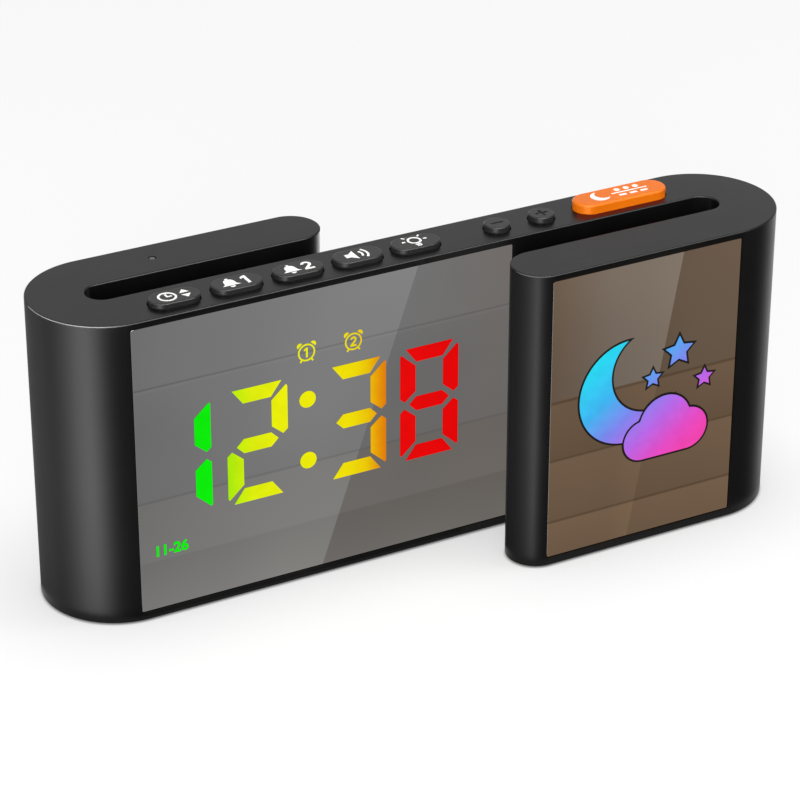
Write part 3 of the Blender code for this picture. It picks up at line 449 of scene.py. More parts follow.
def painted_in_gloss(name, points, faces, levels, facing):
    """Sheet seen only by glossy surfaces, facing a place; its levels or tints at its points paint highlights
    and reflections.
    """
    made = sheet(name, points, faces, painted_gloss_glow)
    middle = made.data.polygons[len(faces) // 2]
    if middle.normal.dot(Vector(facing) * MM - middle.center) < 0:
        made.data.flip_normals()
    tints = [tint if isinstance(tint, tuple) else (tint, tint, tint) for tint in levels]
    values = [value for tint in tints for value in (*tint, 1.0)]
    made.data.attributes.new("level", "FLOAT_COLOR", "POINT").data.foreach_set("color", values)
    made.visible_camera = False
    made.visible_diffuse = False
    made.visible_transmission = False
    made.visible_shadow = False


def grid_faces(columns, rows):
    """Faces between points that are listed column by column."""
    corners = [column * rows + row for column in range(columns - 1) for row in range(rows - 1)]
    return [(corner, corner + 1, corner + rows + 1, corner + rows) for corner in corners]


def between_marks(marks, at):
    """Value at a place between (place, value) marks."""
    for (low, low_value), (high, high_value) in zip(marks, marks[1:]):
        if at <= high:
            break
    return low_value + (high_value - low_value) * (at - low) / (high - low)


CURTAIN_ROWS = ((0.5, 0.65), (14, 0.85), (35, 1.0), (79, 1.0))
RIM_ROWS = ((79.7, 1.0), (80.4, 1.0))


def curtain(name, centre, radius, levels, gap=4.0, rows=CURTAIN_ROWS):
    """Standing sheet close to a round wall, which mirrors it into the picture.

    The levels stand beside headings of the wall in degrees and paint light and shade on it from side
    to side; the rows are heights with a share of that level.
    """
    points, strengths = [], []
    first, last = levels[0][0], levels[-1][0]
    steps = int((last - first) / 1.5)
    for index in range(steps + 1):
        heading = first + (last - first) * index / steps
        outward = Vector((cos(radians(heading)), sin(radians(heading))))
        wall = Vector(centre) + radius * outward
        view = (wall - EYE.xy).normalized()
        foot = wall + gap * (view - 2 * view.dot(outward) * outward)
        points += [(foot.x, foot.y, height) for height, _ in rows]
        strengths += [between_marks(levels, heading) * share for _, share in rows]
    painted_in_gloss(name, points, grid_faces(steps + 1, len(rows)), strengths, (*centre, 40))


LEFT_END, RIGHT_END, FRONT_END = (-BEND, ROW / 2), (BEND, -ROW / 2), (FRONT_TIP, -ROW)
# Upright painted highlights on the round ends and the front tip, and painted light lines at their rims.
curtain("curtain_left_end", LEFT_END, TURN, (
    (160, 0.4), (172, 0.3), (184, 0.6), (189, 0.85), (194, 1.1), (199, 1.3), (204, 1.65), (209, 2.5),
    (214, 3.9), (219, 6.0), (224, 8.6), (229, 10.3), (232, 10.7), (234, 10.0), (239, 6.9), (244, 3.4),
    (249, 1.4), (254, 0.7), (259, 0.5), (263, 0.4)))
curtain("curtain_right_end", RIGHT_END, TURN, (
    (272, 0.4), (275, 0.3), (285, 0.25), (290, 0.3), (295, 0.45), (300, 0.7), (305, 0.9), (310, 0.95),
    (315, 0.95), (320, 1.05), (325, 1.1)))
curtain("curtain_front_tip", FRONT_END, WING, (
    (160, 0.2), (171, 0.1), (179, 0.25), (187, 0.45), (195, 0.7), (203, 1.2), (211, 1.9), (219, 2.9),
    (227, 4.7), (233, 6.5), (236, 5.8), (243, 2.2), (251, 0.8), (257, 0.5), (262, 0.4)))
curtain("rim_light_left_end", LEFT_END, TURN, (
    (176, 6), (184, 12), (190, 16), (194, 21), (204, 46), (213, 52), (222, 74), (231, 80), (242, 77),
    (250, 48), (258, 20), (264, 6)), 0.5, RIM_ROWS)
curtain("rim_light_front_tip", FRONT_END, WING, (
    (184, 3), (190, 7), (205, 19), (218, 24), (230, 20), (246, 12), (256, 9), (264, 3)), 0.5, RIM_ROWS)

ON_TABLE = 0.4            # height of the grades on the table
# Painted reflections: a grey card in the slot, which the time mirror shows in place of the front wing's back;
# a dim grade on the table in front, which darkens what the walls mirror; and a bright grade on the table
# behind.
painted_in_gloss("card_behind_wing", [(5, -15.9, 0.5), (27, -15.9, 0.5), (27, -15.9, 79.5), (5, -15.9, 79.5)],
          [(0, 1, 2, 3)], [0.72, 0.72, 0.8, 0.8], (15, 0, 40))
painted_in_gloss("dark_table_in_front", flat_ring((
    (-500, -34), (-94, -34), (-94, -9), (12, -9), (12, -34), (600, -34), (600, -700), (-500, -700)), ON_TABLE),
          [tuple(range(8))], [0.1] * 8, (0, -200, 100))
painted_in_gloss("bright_table_behind", flat_ring([(x, y) for x in (-300, 60, 300) for y in (36, 600)], ON_TABLE),
          grid_faces(3, 2), [1.0, 1.0, 5.0, 3.0, 1.6, 1.2], (0, 200, 100))

# A bright card behind and above, which the roof mirrors as a painted reflection.
card_place, card_half_width, card_half_height = Vector((365, 702, 503)), 450, 180
card_turn = (Vector((0, 0, 80)) - card_place).to_track_quat("Z", "Y")
painted_in_gloss("card_behind", [card_place + card_turn @ Vector((x * card_half_width, y * card_half_height, 0))
                          for x, y in CORNERS],
          [(0, 1, 2, 3)], [1.24, 1.12, 1.12, 1.24], (0, 0, 80))

# An arched sheet far in front, which the rounded top edges mirror as a thin painted highlight line.
CANOPY_MIDDLE, CANOPY_AWAY = Vector((-30, 0, 80)), 900.0
CANOPY_TILTS = (26, 39, 52)
CANOPY_LEVELS = ((165, 0.5), (190, 1.5), (205, 4), (220, 8), (235, 12), (250, 18), (262, 22), (275, 9),
                 (290, 0.5))
towards_eye = (EYE - CANOPY_MIDDLE).normalized()
canopy_points = []
for heading, _ in CANOPY_LEVELS:
    for tilt in CANOPY_TILTS:
        edge_normal = Vector((cos(radians(heading)) * cos(radians(tilt)),
                              sin(radians(heading)) * cos(radians(tilt)), sin(radians(tilt))))
        mirrored = 2 * edge_normal.dot(towards_eye) * edge_normal - towards_eye
        canopy_points.append(CANOPY_MIDDLE + CANOPY_AWAY * mirrored)
painted_in_gloss("canopy_over_edges", canopy_points, grid_faces(len(CANOPY_LEVELS), len(CANOPY_TILTS)),
          [level for _, level in CANOPY_LEVELS for _ in CANOPY_TILTS], CANOPY_MIDDLE)


# Mirror panels: two sheets of half-silvered acrylic, 1.2 mm thick with polished edges, glued on the
# ledges of the wings. They look like grey mirrors until the lamps behind them are lit.

def half_mirror(name):
    """Half-silvered acrylic: a dim grey mirror with the faint waves of cast sheet and thin smears."""
    made, tree, shader, place = shaded_material(name)
    waves = add(tree, "ShaderNodeTexNoise", {"Vector": place, "Scale": 1 / (35 * MM), "Detail": 1.0})
    smears = add(tree, "ShaderNodeTexNoise",
                 {"Vector": place, "Scale": 1 / (9 * MM), "Detail": 4.0, "Distortion": 1.2})
    tone = add(tree, "ShaderNodeMapRange",
               {"Value": waves.outputs[0], **NOISE, "To Min": 0.95, "To Max": 1.05})
    shade = add(tree, "ShaderNodeVectorMath", {0: linear("797979")[:3], "Scale": tone.outputs[0]},
                operation="SCALE")
    rough = add(tree, "ShaderNodeMapRange", {"Value": smears.outputs[0], "From Min": 0.45, "From Max": 0.75,
                                             "To Min": 0.03, "To Max": 0.07})
    bump = add(tree, "ShaderNodeBump", {"Height": waves.outputs[0], "Distance": 0.004 * MM, "Strength": 1.0})
    feed(tree, shader, {"Metallic": 1.0, "Base Color": shade.outputs[0], "Roughness": rough.outputs[0],
                        "Normal": bump.outputs[0]})
    return made


TIME_FACE = -WING + 0.15
LIGHT_FACE = TIME_FACE - ROW
SHEET = 1.2               # thickness
POLISH = 0.03             # width of the polished edge
for panel, face in (("time", TIME_FACE), ("light", LIGHT_FACE)):
    outer = rounded_box(*mirror_edges(panel), 0.45)
    front = rounded_box(*mirror_edges(panel, -POLISH), 0.4)
    rings = [upright_ring(front, face), upright_ring(outer, face + POLISH), upright_ring(outer, face + SHEET)]
    fit(smooth(loft(panel + "_mirror_sheet", rings)), "clock", half_mirror(panel + "_half_silvered_acrylic"),
        "half_mirror", panel + "_mirror_panel")

# Painted reflections in the mirrors: sheets close to them show a room, a plain wall with a skirting
# board over a floor of wide boards. Right of a slanting edge, the painted shade of a curtain, all of it
# is dimmer. In the front mirror the wood is warmer.
ROOM_GAP = 3.0
SLANT_FROM = 79.5         # height at which a column's place is given


def room(name, face, rows, columns):
    """Sheet close to a mirror, which shows it as a painted reflection with levels at the columns' places on
    its face.

    A column has a place, how far it leans for each millimetre of height, and its levels from the
    top down, one for each of the rows.
    """
    points, levels = [], []
    for x, lean, column_levels in columns:
        for row, level in zip(rows, column_levels):
            place = Vector((x + lean * (row - SLANT_FROM), face, row))
            view = place - EYE
            points.append(place + Vector((view.x, -view.y, view.z)) * (ROOM_GAP / view.y))
            levels.append(level)
    painted_in_gloss(name, points, grid_faces(len(columns), len(rows)), levels, (0, 0, 40))


TIME_ROWS = (78.4, 62.7, 62.3, 61.8, 61.2, 32.6, 32.2, 31.7, 16.0, 15.6, 2.6)
TIME_SLANT, LIGHT_SLANT = 0.354, 0.18
room("room_in_time_mirror", TIME_FACE, TIME_ROWS, (
    (-77.8, 0, (0.78, 0.80, 0.56, 0.88, 0.80, 0.76, 0.60, (0.80, 0.79, 0.77), (0.88, 0.87, 0.84),
                (0.80, 0.79, 0.76), (0.96, 0.94, 0.91))),
    (-40, 0, (1.04, 1.04, 0.78, 1.10, 1.02, 0.94, 0.76, (1.02, 1.01, 0.98), (1.12, 1.10, 1.06),
              (1.02, 1.00, 0.96), (1.18, 1.16, 1.11))),
    (-1.6, TIME_SLANT, (1.14, 1.10, 0.84, 1.14, 1.04, 0.98, 0.80, (1.04, 1.02, 0.98), (1.14, 1.12, 1.07),
                        (1.04, 1.01, 0.97), (1.18, 1.16, 1.10)))))
room("room_in_time_mirror_dim", TIME_FACE, TIME_ROWS, (
    (-1.6, TIME_SLANT, (0.84, 0.86, 0.66, 0.88, 0.80, 0.76, 0.62, (0.76, 0.71, 0.66), (0.80, 0.75, 0.70),
                        (0.70, 0.65, 0.60), (0.82, 0.77, 0.72))),
    (24.2, 0, ((0.84, 0.76, 0.72), (0.84, 0.76, 0.72), (0.64, 0.60, 0.58), (0.86, 0.80, 0.77),
               (0.80, 0.74, 0.71), (0.74, 0.68, 0.65), (0.60, 0.56, 0.54), (0.72, 0.65, 0.59),
               (0.76, 0.69, 0.63), (0.66, 0.60, 0.54), (0.74, 0.68, 0.62)))))

LIGHT_ROWS = (78.4, 46.0, 45.4, 44.8, 30.0, 29.5, 29.0, 13.0, 12.4, 11.9, 2.6)
# Painted light and shade: the same wall in a lit tint and in a shaded one.
LIT_WALL, SHADED_WALL = (1.16, 0.93, 0.74), (0.86, 0.60, 0.41)
BOARD, JOINT = (0.80, 0.52, 0.32), (0.5, 0.31, 0.18)


def wood_levels(wall, share):
    """Levels down the front mirror: a wall over boards with dark joints."""
    tints = ((wall, 0.95), (wall, 0.8), (JOINT, 1), (BOARD, 1), (BOARD, 0.82), (JOINT, 1), (BOARD, 1.08),
             (BOARD, 0.9), (JOINT, 1), (BOARD, 1.12), (BOARD, 1))
    return [tuple(value * level * share for value in tint) for tint, level in tints]


room("room_in_light_mirror", LIGHT_FACE, LIGHT_ROWS, (
    (21.5, 0, wood_levels(SHADED_WALL, 0.95)), (40.0, 0, wood_levels(LIT_WALL, 0.95)),
    (58.8, LIGHT_SLANT, wood_levels(LIT_WALL, 1.05))))
room("room_in_light_mirror_dim", LIGHT_FACE, LIGHT_ROWS, (
    (58.8, LIGHT_SLANT, wood_levels(SHADED_WALL, 0.86)), (75.4, 0, wood_levels(SHADED_WALL, 1.0))))


# Lit display: segments, colon, alarm signs and a small date that the lamps behind the left panel
# throw on its back. They shine in one colour each, from green on the left over yellow to red.

def plate_from(name, curve, low, high, upright):
    """Turn a filled flat curve or text into a plain mesh between two planes."""
    curve.extrude = (high - low) / 2 * MM
    sketch = link(name + "_sketch", curve)
    mesh = bpy.data.meshes.new_from_object(sketch.evaluated_get(bpy.context.evaluated_depsgraph_get()))
    bpy.data.objects.remove(sketch)
    middle = (low + high) / 2 * MM
    skin = bmesh.new()
    skin.from_mesh(mesh)
    bmesh.ops.remove_doubles(skin, verts=skin.verts, dist=1e-6)
    bmesh.ops.dissolve_limit(skin, angle_limit=radians(0.5), verts=skin.verts, edges=skin.edges)
    bmesh.ops.recalc_face_normals(skin, faces=skin.faces)
    if upright:
        skin.transform(Matrix.Rotation(pi / 2, 4, "X"))
    skin.transform(Matrix.Translation((0, middle, 0) if upright else (0, 0, middle)))
    skin.to_mesh(mesh)
    skin.free()
    mesh.name = name
    return link(name, mesh)


def drawn(name, outlines, low, high, upright=True):
    """Flat plate between two planes, with a hole where an outline lies inside another."""
    curve = bpy.data.curves.new(name, "CURVE")
    curve.dimensions = "2D"
    curve.fill_mode = "BOTH"
    for outline in outlines:
        spline = curve.splines.new("POLY")
        spline.points.add(len(outline) - 1)
        for point, (x, y) in zip(spline.points, outline):
            point.co = (x * MM, y * MM, 0, 1)
        spline.use_cyclic_u = True
    return plate_from(name, curve, low, high, upright)


def glowing(name, stops, start, end):
    """Coloured lamp light on a diffusing film, from one colour to the next along a line.

    The eye sees flat, saturated colour with no gloss, a shade dimmer in places where the film is
    thicker.
    """
    made, tree, shader, place = shaded_material(name)
    along = Vector(end) - Vector(start)
    shifted = add(tree, "ShaderNodeVectorMath", {0: place, 1: Vector(start) * MM}, operation="SUBTRACT")
    share = add(tree, "ShaderNodeVectorMath", {0: shifted.outputs[0], 1: along / along.length_squared / MM},
                operation="DOT_PRODUCT")
    ramp = add(tree, "ShaderNodeValToRGB", {0: share.outputs["Value"]})
    while len(ramp.color_ramp.elements) < len(stops):
        ramp.color_ramp.elements.new(0.5)
    for element, (position, colour) in zip(ramp.color_ramp.elements, stops):
        element.position = position
        element.color = linear(colour)
    film = add(tree, "ShaderNodeTexNoise", {"Vector": place, "Scale": 1 / (3 * MM), "Detail": 2.0})
    level = add(tree, "ShaderNodeMapRange",
                {"Value": film.outputs[0], **NOISE, "To Min": 0.96, "To Max": 1.04})
    feed(tree, shader, {"Base Color": (0.002, 0.002, 0.002, 1), "Specular IOR Level": 0.0, "Roughness": 1.0,
                        "Emission Color": ramp.outputs[0], "Emission Strength": level.outputs[0]})
    return made


DIGIT_WIDE, DIGIT_HIGH = 16.2, 30.6
POST, BAR = 4.25, 3.8     # widths of upright and lying segments
BREAK = 1.5               # between neighbours


def placed(outline, centre, scale=1.0):
    return [(centre[0] + scale * x, centre[1] + scale * z) for x, z in outline]


def segments(lit, centre):
    """Outlines of the lit ones of a digit's seven segments, a to g."""
    side, top, half = DIGIT_WIDE / 2, DIGIT_HIGH / 2, BAR / 2
    back = BREAK / sqrt(2)
    inside, point = side - POST, side - POST / 2
    end, corner = side - back - 0.5, inside - 0.15
    lintel = [(-end, top), (end, top), (corner, top - BAR), (-corner, top - BAR)]
    leg = [(side, top - back - 0.7), (side, back + 0.95), (side - 1.25, back - 0.1),
           (inside, half + back + 0.5), (inside, top - BAR - back), (side - 0.35, top - back - 0.3)]
    tip, shoulder = point - 0.4 * back, inside - 0.2
    middle = [(-tip, 0), (-shoulder, half), (shoulder, half), (tip, 0), (shoulder, -half), (-shoulder, -half)]
    shapes = {"a": lintel, "d": [(x, -z) for x, z in lintel], "g": middle}
    for letter, across_sign, up_sign in (("b", 1, 1), ("c", 1, -1), ("e", -1, -1), ("f", -1, 1)):
        shapes[letter] = [(across_sign * x, up_sign * z) for x, z in leg]
    return [placed(shapes[letter], centre) for letter in lit]


FIGURES = {"1": "bc", "2": "abged", "3": "abgcd", "8": "abcdefg"}
DISPLAY = (TIME_FACE - 0.08, TIME_FACE + 0.05)
DIGIT_LEVEL = 41.1
lit_outlines = []
for figure, x in zip("1238", (-66.15, -45.8, -19.05, 1.1)):
    lit_outlines += segments(FIGURES[figure], (x, DIGIT_LEVEL))
lit_outlines += [circle((-32.3, DIGIT_LEVEL + 8.4), 2.2), circle((-32.3, DIGIT_LEVEL - 8.2), 2.2)]

ONE = [(-0.2, -1.5), (0.36, -1.5), (0.36, 1.5), (-0.1, 1.5), (-0.8, 1.02), (-0.8, 0.45), (-0.2, 0.82)]
TWO = (arc((0, 0.58), 0.95, 170, -215, 14)
       + [(-0.1, -0.98), (0.95, -0.98), (0.95, -1.5), (-0.95, -1.5), (-0.95, -1.05)]
       + arc((0, 0.58), 0.42, -45, 215, 12))


def alarm_sign(centre):
    """Ring with two bells on top and two short feet."""
    shapes = [circle(centre, 2.3, 40), circle(centre, 1.9, 40)]
    for side in (-1, 1):
        for turn, outline in ((90 - side * 42, arc((2.62, 0), 0.8, -90, 180, 10)),
                              (side * 35 - 90, [(2.3, -0.22), (2.95, -0.22), (2.95, 0.22), (2.3, 0.22)])):
            along, out = cos(radians(turn)), sin(radians(turn))
            shapes.append(placed([(u * along - v * out, u * out + v * along) for u, v in outline], centre))
    return shapes


for figure, centre in ((ONE, (-32.4, 62.1)), (TWO, (-19.8, 62.1))):
    lit_outlines += alarm_sign(centre) + [placed(figure, centre, 0.86)]
segment_light = glowing("segment_light", [
    (0.00, "06EB04"), (0.20, "06EB04"), (0.24, "A6EA06"), (0.32, "DDED08"), (0.42, "ECEE06"),
    (0.52, "EEEA04"), (0.64, "EFDC02"), (0.69, "E9C203"), (0.715, "E9A403"), (0.755, "DE7203"),
    (0.785, "E60404"), (1.00, "E40102")], (-74, 0, 0), (10, 0, 0))
fit(drawn("lit_display", lit_outlines, *DISPLAY), "clock", segment_light, "white_abs")

date_text = bpy.data.curves.new("date_figures", "FONT")
date_text.body = "11-26"
date_text.size = 3.9 * MM
date_text.offset = 0.12 * MM
date = plate_from("lit_date", date_text, *DISPLAY, True)
date.data.transform(Matrix.Translation(Vector((-73.9, 0, 17.1)) * MM))
fit(date, "clock", segment_light, "white_abs")


# Night-light picture: the front wing's lamps shine through a printed film with a plain night-sky
# motif, a crescent moon, a cloud and stars in black outlines, coloured from cyan to magenta.

def crescent(centre, radius, bite_centre, bite_radius):
    """Circle less another one, as one outline."""
    apart = Vector(bite_centre) - Vector(centre)
    heading = atan2(apart.y, apart.x)
    d = apart.length
    open_angle = acos((radius ** 2 + d ** 2 - bite_radius ** 2) / (2 * radius * d))
    inner_angle = acos((bite_radius ** 2 + d ** 2 - radius ** 2) / (2 * bite_radius * d))
    outline = arc(centre, radius, degrees(heading + open_angle), 360 - 2 * degrees(open_angle), 60)
    return outline + arc(bite_centre, bite_radius, degrees(heading + inner_angle) + 180,
                         -2 * degrees(inner_angle), 40)[1:-1]


def cloud(puffs, margin):
    """Row of puffs on a flat base; the first and the last puff stand on the base."""
    grown = [(x, z, r + margin) for x, z, r in puffs]
    left = grown[0][0] - grown[0][2]
    right = grown[-1][0] + grown[-1][2]
    steps = 90
    crest = []
    for index in range(steps + 1):
        x = left + (right - left) * (1 - cos(pi * index / steps)) / 2
        heights = [z + sqrt(max(0, r * r - (x - cx) ** 2)) for cx, z, r in grown if abs(x - cx) <= r + 1e-9]
        crest.append((x, max(heights)))
    base = arc(grown[-1][:2], grown[-1][2], 0, -90, 12)[1:]
    return crest + base + arc(grown[0][:2], grown[0][2], -90, -90, 12)[:-1]


def star(centre, radius):
    """Five-pointed star."""
    corners = [(radius / (1 + index % 2), pi * index / 5) for index in range(10)]
    return [(centre[0] + reach * sin(turn), centre[1] + reach * cos(turn)) for reach, turn in corners]


PICTURE_INK = 0.55        # width of the black outlines
MOON = ((44.0, 43.6), 14.0, (50.6, 48.4), 11.6)
PUFFS = ((48.6, 28.9, 5.4), (55.0, 32.6, 7.4), (61.8, 29.2, 5.7))
STARS = (((58.4, 51.4), 4.2), ((66.2, 42.4), 2.6), ((51.0, 45.6), 2.5))
STAR_INKS = (5.4, 3.7, 3.6)
picture_light = glowing("picture_light", [
    (0.0, "22DDF2"), (0.3, "3FB4F2"), (0.5, "7C86EE"), (0.7, "B766E6"), (0.88, "E24CC6"), (1.0, "F044B0")],
    (36, 0, 56), (60, 0, 24))
picture_ink = moulded("printed_black_ink", "0A0A0A", 0.5, 0.1)
layers = (
    # name, outlines, how far it stands proud of the mirror, material, slot
    ("night_moon_outline", [crescent(MOON[0], MOON[1] + PICTURE_INK, MOON[2], MOON[3] - PICTURE_INK)], 0.035,
     picture_ink, "smoked_film"),
    ("night_moon", [crescent(*MOON)], 0.065, picture_light, "white_abs"),
    ("night_cloud_outline", [cloud(PUFFS, PICTURE_INK)], 0.095, picture_ink, "smoked_film"),
    ("night_cloud", [cloud(PUFFS, 0)], 0.125, picture_light, "white_abs"),
    ("night_star_outlines", [star(centre, reach) for (centre, _), reach in zip(STARS, STAR_INKS)], 0.05,
     picture_ink, "smoked_film"),
    ("night_stars", [star(*shape) for shape in STARS], 0.08, picture_light, "white_abs"),
)
for name, outlines, proud, material, slot in layers:
    fit(drawn(name, outlines, LIGHT_FACE - proud, LIGHT_FACE + 0.05), "clock", material, slot)


# Keys: five oval keys and two round ones of black ABS, each held by ears under the roof. The ovals
# carry a white pad-printed sign, the round ones an engraved minus and plus.

def key_cap(name, x, length, width, top, edge):
    """Key with a stem, the ears that hold it, a neck and a cap with a rounded rim."""
    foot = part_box(name + "_button")[0].z / MM
    ears_top = THROUGH_ROOF[0]
    ears_foot = ears_top - 0.7
    narrow = width - 2.4
    levels = [(2.6, 2.6 - 1e-4, foot), (2.6, 2.6 - 1e-4, ears_foot), (length + 1.0, narrow, ears_foot),
              (length + 1.0, narrow, ears_top), (length - 2.4, narrow, ears_top),
              (length - 2.4, narrow, TOP - ROOF), (length, width, TOP - ROOF)]
    for index in range(7):
        turn = pi / 2 * index / 6
        inset = 2 * edge * (1 - cos(turn))
        levels.append((length - inset, width - inset, top - edge * (1 - sin(turn))))
    return loft(name + "_key_cap", [flat_ring(oval((x, KEY_LINE), ring_length, ring_width, 24), height)
                                    for ring_length, ring_width, height in levels])


def ring_of(centre, radius, width):
    return [circle(centre, radius, 36), circle(centre, radius - width, 36)]


def bar_shape(start, end, width):
    """Thin bar between two points."""
    start, end = Vector(start), Vector(end)
    side = (end - start).normalized().orthogonal() * width / 2
    return [tuple(corner) for corner in (start + side, start - side, end - side, end + side)]


def bow(centre, radius, width, start, sweep):
    return arc(centre, radius, start, sweep, 12) + arc(centre, radius - width, start + sweep, -sweep, 12)


def bell_sign(x):
    """Bell with a knob, a flared rim and a clapper."""
    crown = (x, 0.35)
    dome = arc(crown, 1.0, 10, 70, 8) + [(x + 0.3, 1.75), (x - 0.3, 1.75)] + arc(crown, 1.0, 100, 70, 8)
    return [dome + [(x - 1.15, -0.6), (x - 1.75, -1.05), (x + 1.75, -1.05), (x + 1.15, -0.6)],
            arc((x, -1.3), 0.5, 180, 180, 10)]


KEY_SIGNS = {
    "time": ring_of((-1.3, 0), 1.75, 0.42) + [
        bar_shape((-1.3, -0.12), (-1.3, 1.05), 0.38), bar_shape((-1.1, 0), (-0.4, 0), 0.38),
        [(1.2, 0.35), (3.0, 0.35), (2.1, 1.6)], [(1.2, -0.35), (2.1, -1.6), (3.0, -0.35)]],
    "alarm_1": bell_sign(-1.3) + [placed(ONE, (1.9, 0.1))],
    "alarm_2": bell_sign(-1.4) + [placed(TWO, (1.9, 0.1))],
    "volume": [[(-2.4, -0.65), (-1.5, -0.65), (-0.4, -1.7), (-0.4, 1.7), (-1.5, 0.65), (-2.4, 0.65)],
               bow((-0.5, 0), 1.6, 0.4, -42, 84), bow((-0.5, 0), 2.6, 0.42, -42, 84)],
    "light": ring_of((0, 0.45), 1.35, 0.4) + [
        bar_shape((-0.6, -1.25), (0.6, -1.25), 0.34), bar_shape((-0.45, -1.8), (0.45, -1.8), 0.34)] + [
        bar_shape((1.8 * cos(t), 0.45 + 1.8 * sin(t)), (2.5 * cos(t), 0.45 + 2.5 * sin(t)), 0.34)
        for t in (0, pi / 4, 3 * pi / 4, pi)],
}
SIGN_SCALE = 1.35
PRINT = 0.03              # thickness of the print
GROOVE = 0.25
# Painted light: the keys are black ABS like the housing, coloured paler so that their walls look lit.
painted_light_key_abs = moulded("painted_light_key_satin", "242424", 0.30, 0.11, grain=0.35)
white_ink = moulded("white_pad_print", "FAFAF8", 0.55, 0.3, grain=0.3)


def glint(key, strength=1.0):
    """Painted glint on the left round end of a cap: a short upright highlight."""
    name, x, length, width, top = key
    levels = ((205, 0.3), (220, 1.5), (230, 6.0), (236, 9.0), (241, 7.0), (248, 2.0), (256, 0.4))
    curtain(name + "_glint", (x - (length - width) / 2, KEY_LINE), width / 2,
            [(heading, strength * level) for heading, level in levels], 0.4,
            ((TOP + 0.05, 1.0), (top - 0.1, 1.0)))


for key, x, length, width, top in OVAL_KEYS:
    cap = smooth(key_cap(key, x, length, width, top, 0.4))
    fit(cap, key + "_key", painted_light_key_abs, "button_abs", key + "_button")
    outlines = [placed(outline, (x, KEY_LINE), SIGN_SCALE) for outline in KEY_SIGNS[key]]
    fit(drawn(key + "_key_sign", outlines, top - 0.02, top + PRINT, upright=False), key + "_key", white_ink,
        "white_abs")

for key, x, length, width, top in ROUND_KEYS:
    cap = key_cap(key, x, length, width, top, 0.35)
    strokes = [bar_shape((x - 1.65, KEY_LINE), (x + 1.65, KEY_LINE), 0.75)]
    if key == "plus":
        strokes.append(bar_shape((x, KEY_LINE - 1.65), (x, KEY_LINE + 1.65), 0.75))
    carve(cap, [pad(f"{key}_groove_{index}", stroke, top - GROOVE - 0.01 * index, top + 1)
                for index, stroke in enumerate(strokes)])
    fit(smooth(soften(cap, 0.06)), key + "_key", painted_light_key_abs, "button_abs", key + "_button")

for key in OVAL_KEYS + ROUND_KEYS:
    glint(key)


# Snooze bar: a long oval bar of orange ABS that stands well above the roof, with a white
# pad-printed sign: a moon beside a line between three dots and three dashes.

orange_abs = moulded("orange_abs_satin", "EC7406", 0.34, 0.10, grain=0.4, depth=0.003)
key, x, length, width, top = SNOOZE_BAR
fit(smooth(key_cap(key, x, length, width, top - PRINT, 0.7)), "snooze_key", orange_abs, "orange_abs",
    "snooze_button")
bar_signs = [crescent((-5.6, 0), 2.5, (-4.45, 0.65), 2.1), bar_shape((-2.2, 0), (8.0, 0), 0.45)]
bar_signs += [circle((0.2 + 2.7 * index, 1.6), 0.78, 24) for index in range(3)]
bar_signs += [bar_shape((-0.9 + 3.1 * index, -1.6), (1.1 + 3.1 * index, -1.6), 0.85) for index in range(3)]
fit(drawn("snooze_key_sign", [placed(outline, (x, KEY_LINE)) for outline in bar_signs], top - PRINT - 0.02,
          top, upright=False), "snooze_key", white_ink, "white_abs")

# The bar's painted glint, and a painted reflection of its red front in the glossy roof.
glint(SNOOZE_BAR, 2.2)
front_line = sorted(place for place in oval((x, KEY_LINE), length + 0.06, width + 0.06)
                    if place[1] < KEY_LINE - 1.2)
painted_in_gloss("snooze_bar_in_roof", [(px, py, z) for px, py in front_line for z in (TOP + 0.02, top - 0.6)],
          grid_faces(len(front_line), 2), [(2.4, 0.18, 0.01), (1.5, 0.18, 0.05)] * len(front_line),
          (x, -200, top))


# Back: the battery door of black ABS held by one steel screw, the steel shell of the power inlet,
# and the clear acrylic pipe that leads light to the brightness sensor in the roof.


def merged_copy(node, name):
    """Copy of a CAD node with its corners merged and its flat faces whole."""
    piece = link(name, nodes[node].data.copy())
    skin = bmesh.new()
    skin.from_mesh(piece.data)
    bmesh.ops.remove_doubles(skin, verts=skin.verts, dist=2e-6)
    bmesh.ops.dissolve_limit(skin, angle_limit=radians(0.3), verts=skin.verts, edges=skin.edges)
    skin.to_mesh(piece.data)
    skin.free()
    return piece


door_cover = smooth(soften(merged_copy("battery_door", "battery_door_cover"), 0.12), 35)
fit(door_cover, "clock", black_abs, "black_abs", "battery_door")


def metal(name, colour, roughness, grain, stretch):
    """Plated steel: grey metal with fine rolling marks that blur its gloss."""
    made, tree, shader, place = shaded_material(name)
    drawn_out = add(tree, "ShaderNodeMapping", {"Vector": place, "Scale": stretch})
    marks = add(tree, "ShaderNodeTexNoise",
                {"Vector": drawn_out.outputs[0], "Scale": 1 / (grain * MM), "Detail": 3.0})
    tone = add(tree, "ShaderNodeMapRange",
               {"Value": marks.outputs[0], **NOISE, "To Min": 0.88, "To Max": 1.08})
    shade = add(tree, "ShaderNodeVectorMath", {0: linear(colour)[:3], "Scale": tone.outputs[0]},
                operation="SCALE")
    rough = add(tree, "ShaderNodeMapRange", {"Value": marks.outputs[0], **NOISE,
                                             "To Min": roughness - 0.06, "To Max": roughness + 0.08})
    feed(tree, shader, {"Metallic": 1.0, "Base Color": shade.outputs[0], "Roughness": rough.outputs[0]})
    return made


plated_steel = metal("nickel_plated_steel", "C4C4C8", 0.28, 0.4, (1, 1, 6))
fit(smooth(merged_copy("power_inlet", "power_inlet_shell")), "clock", plated_steel, "steel", "power_inlet")

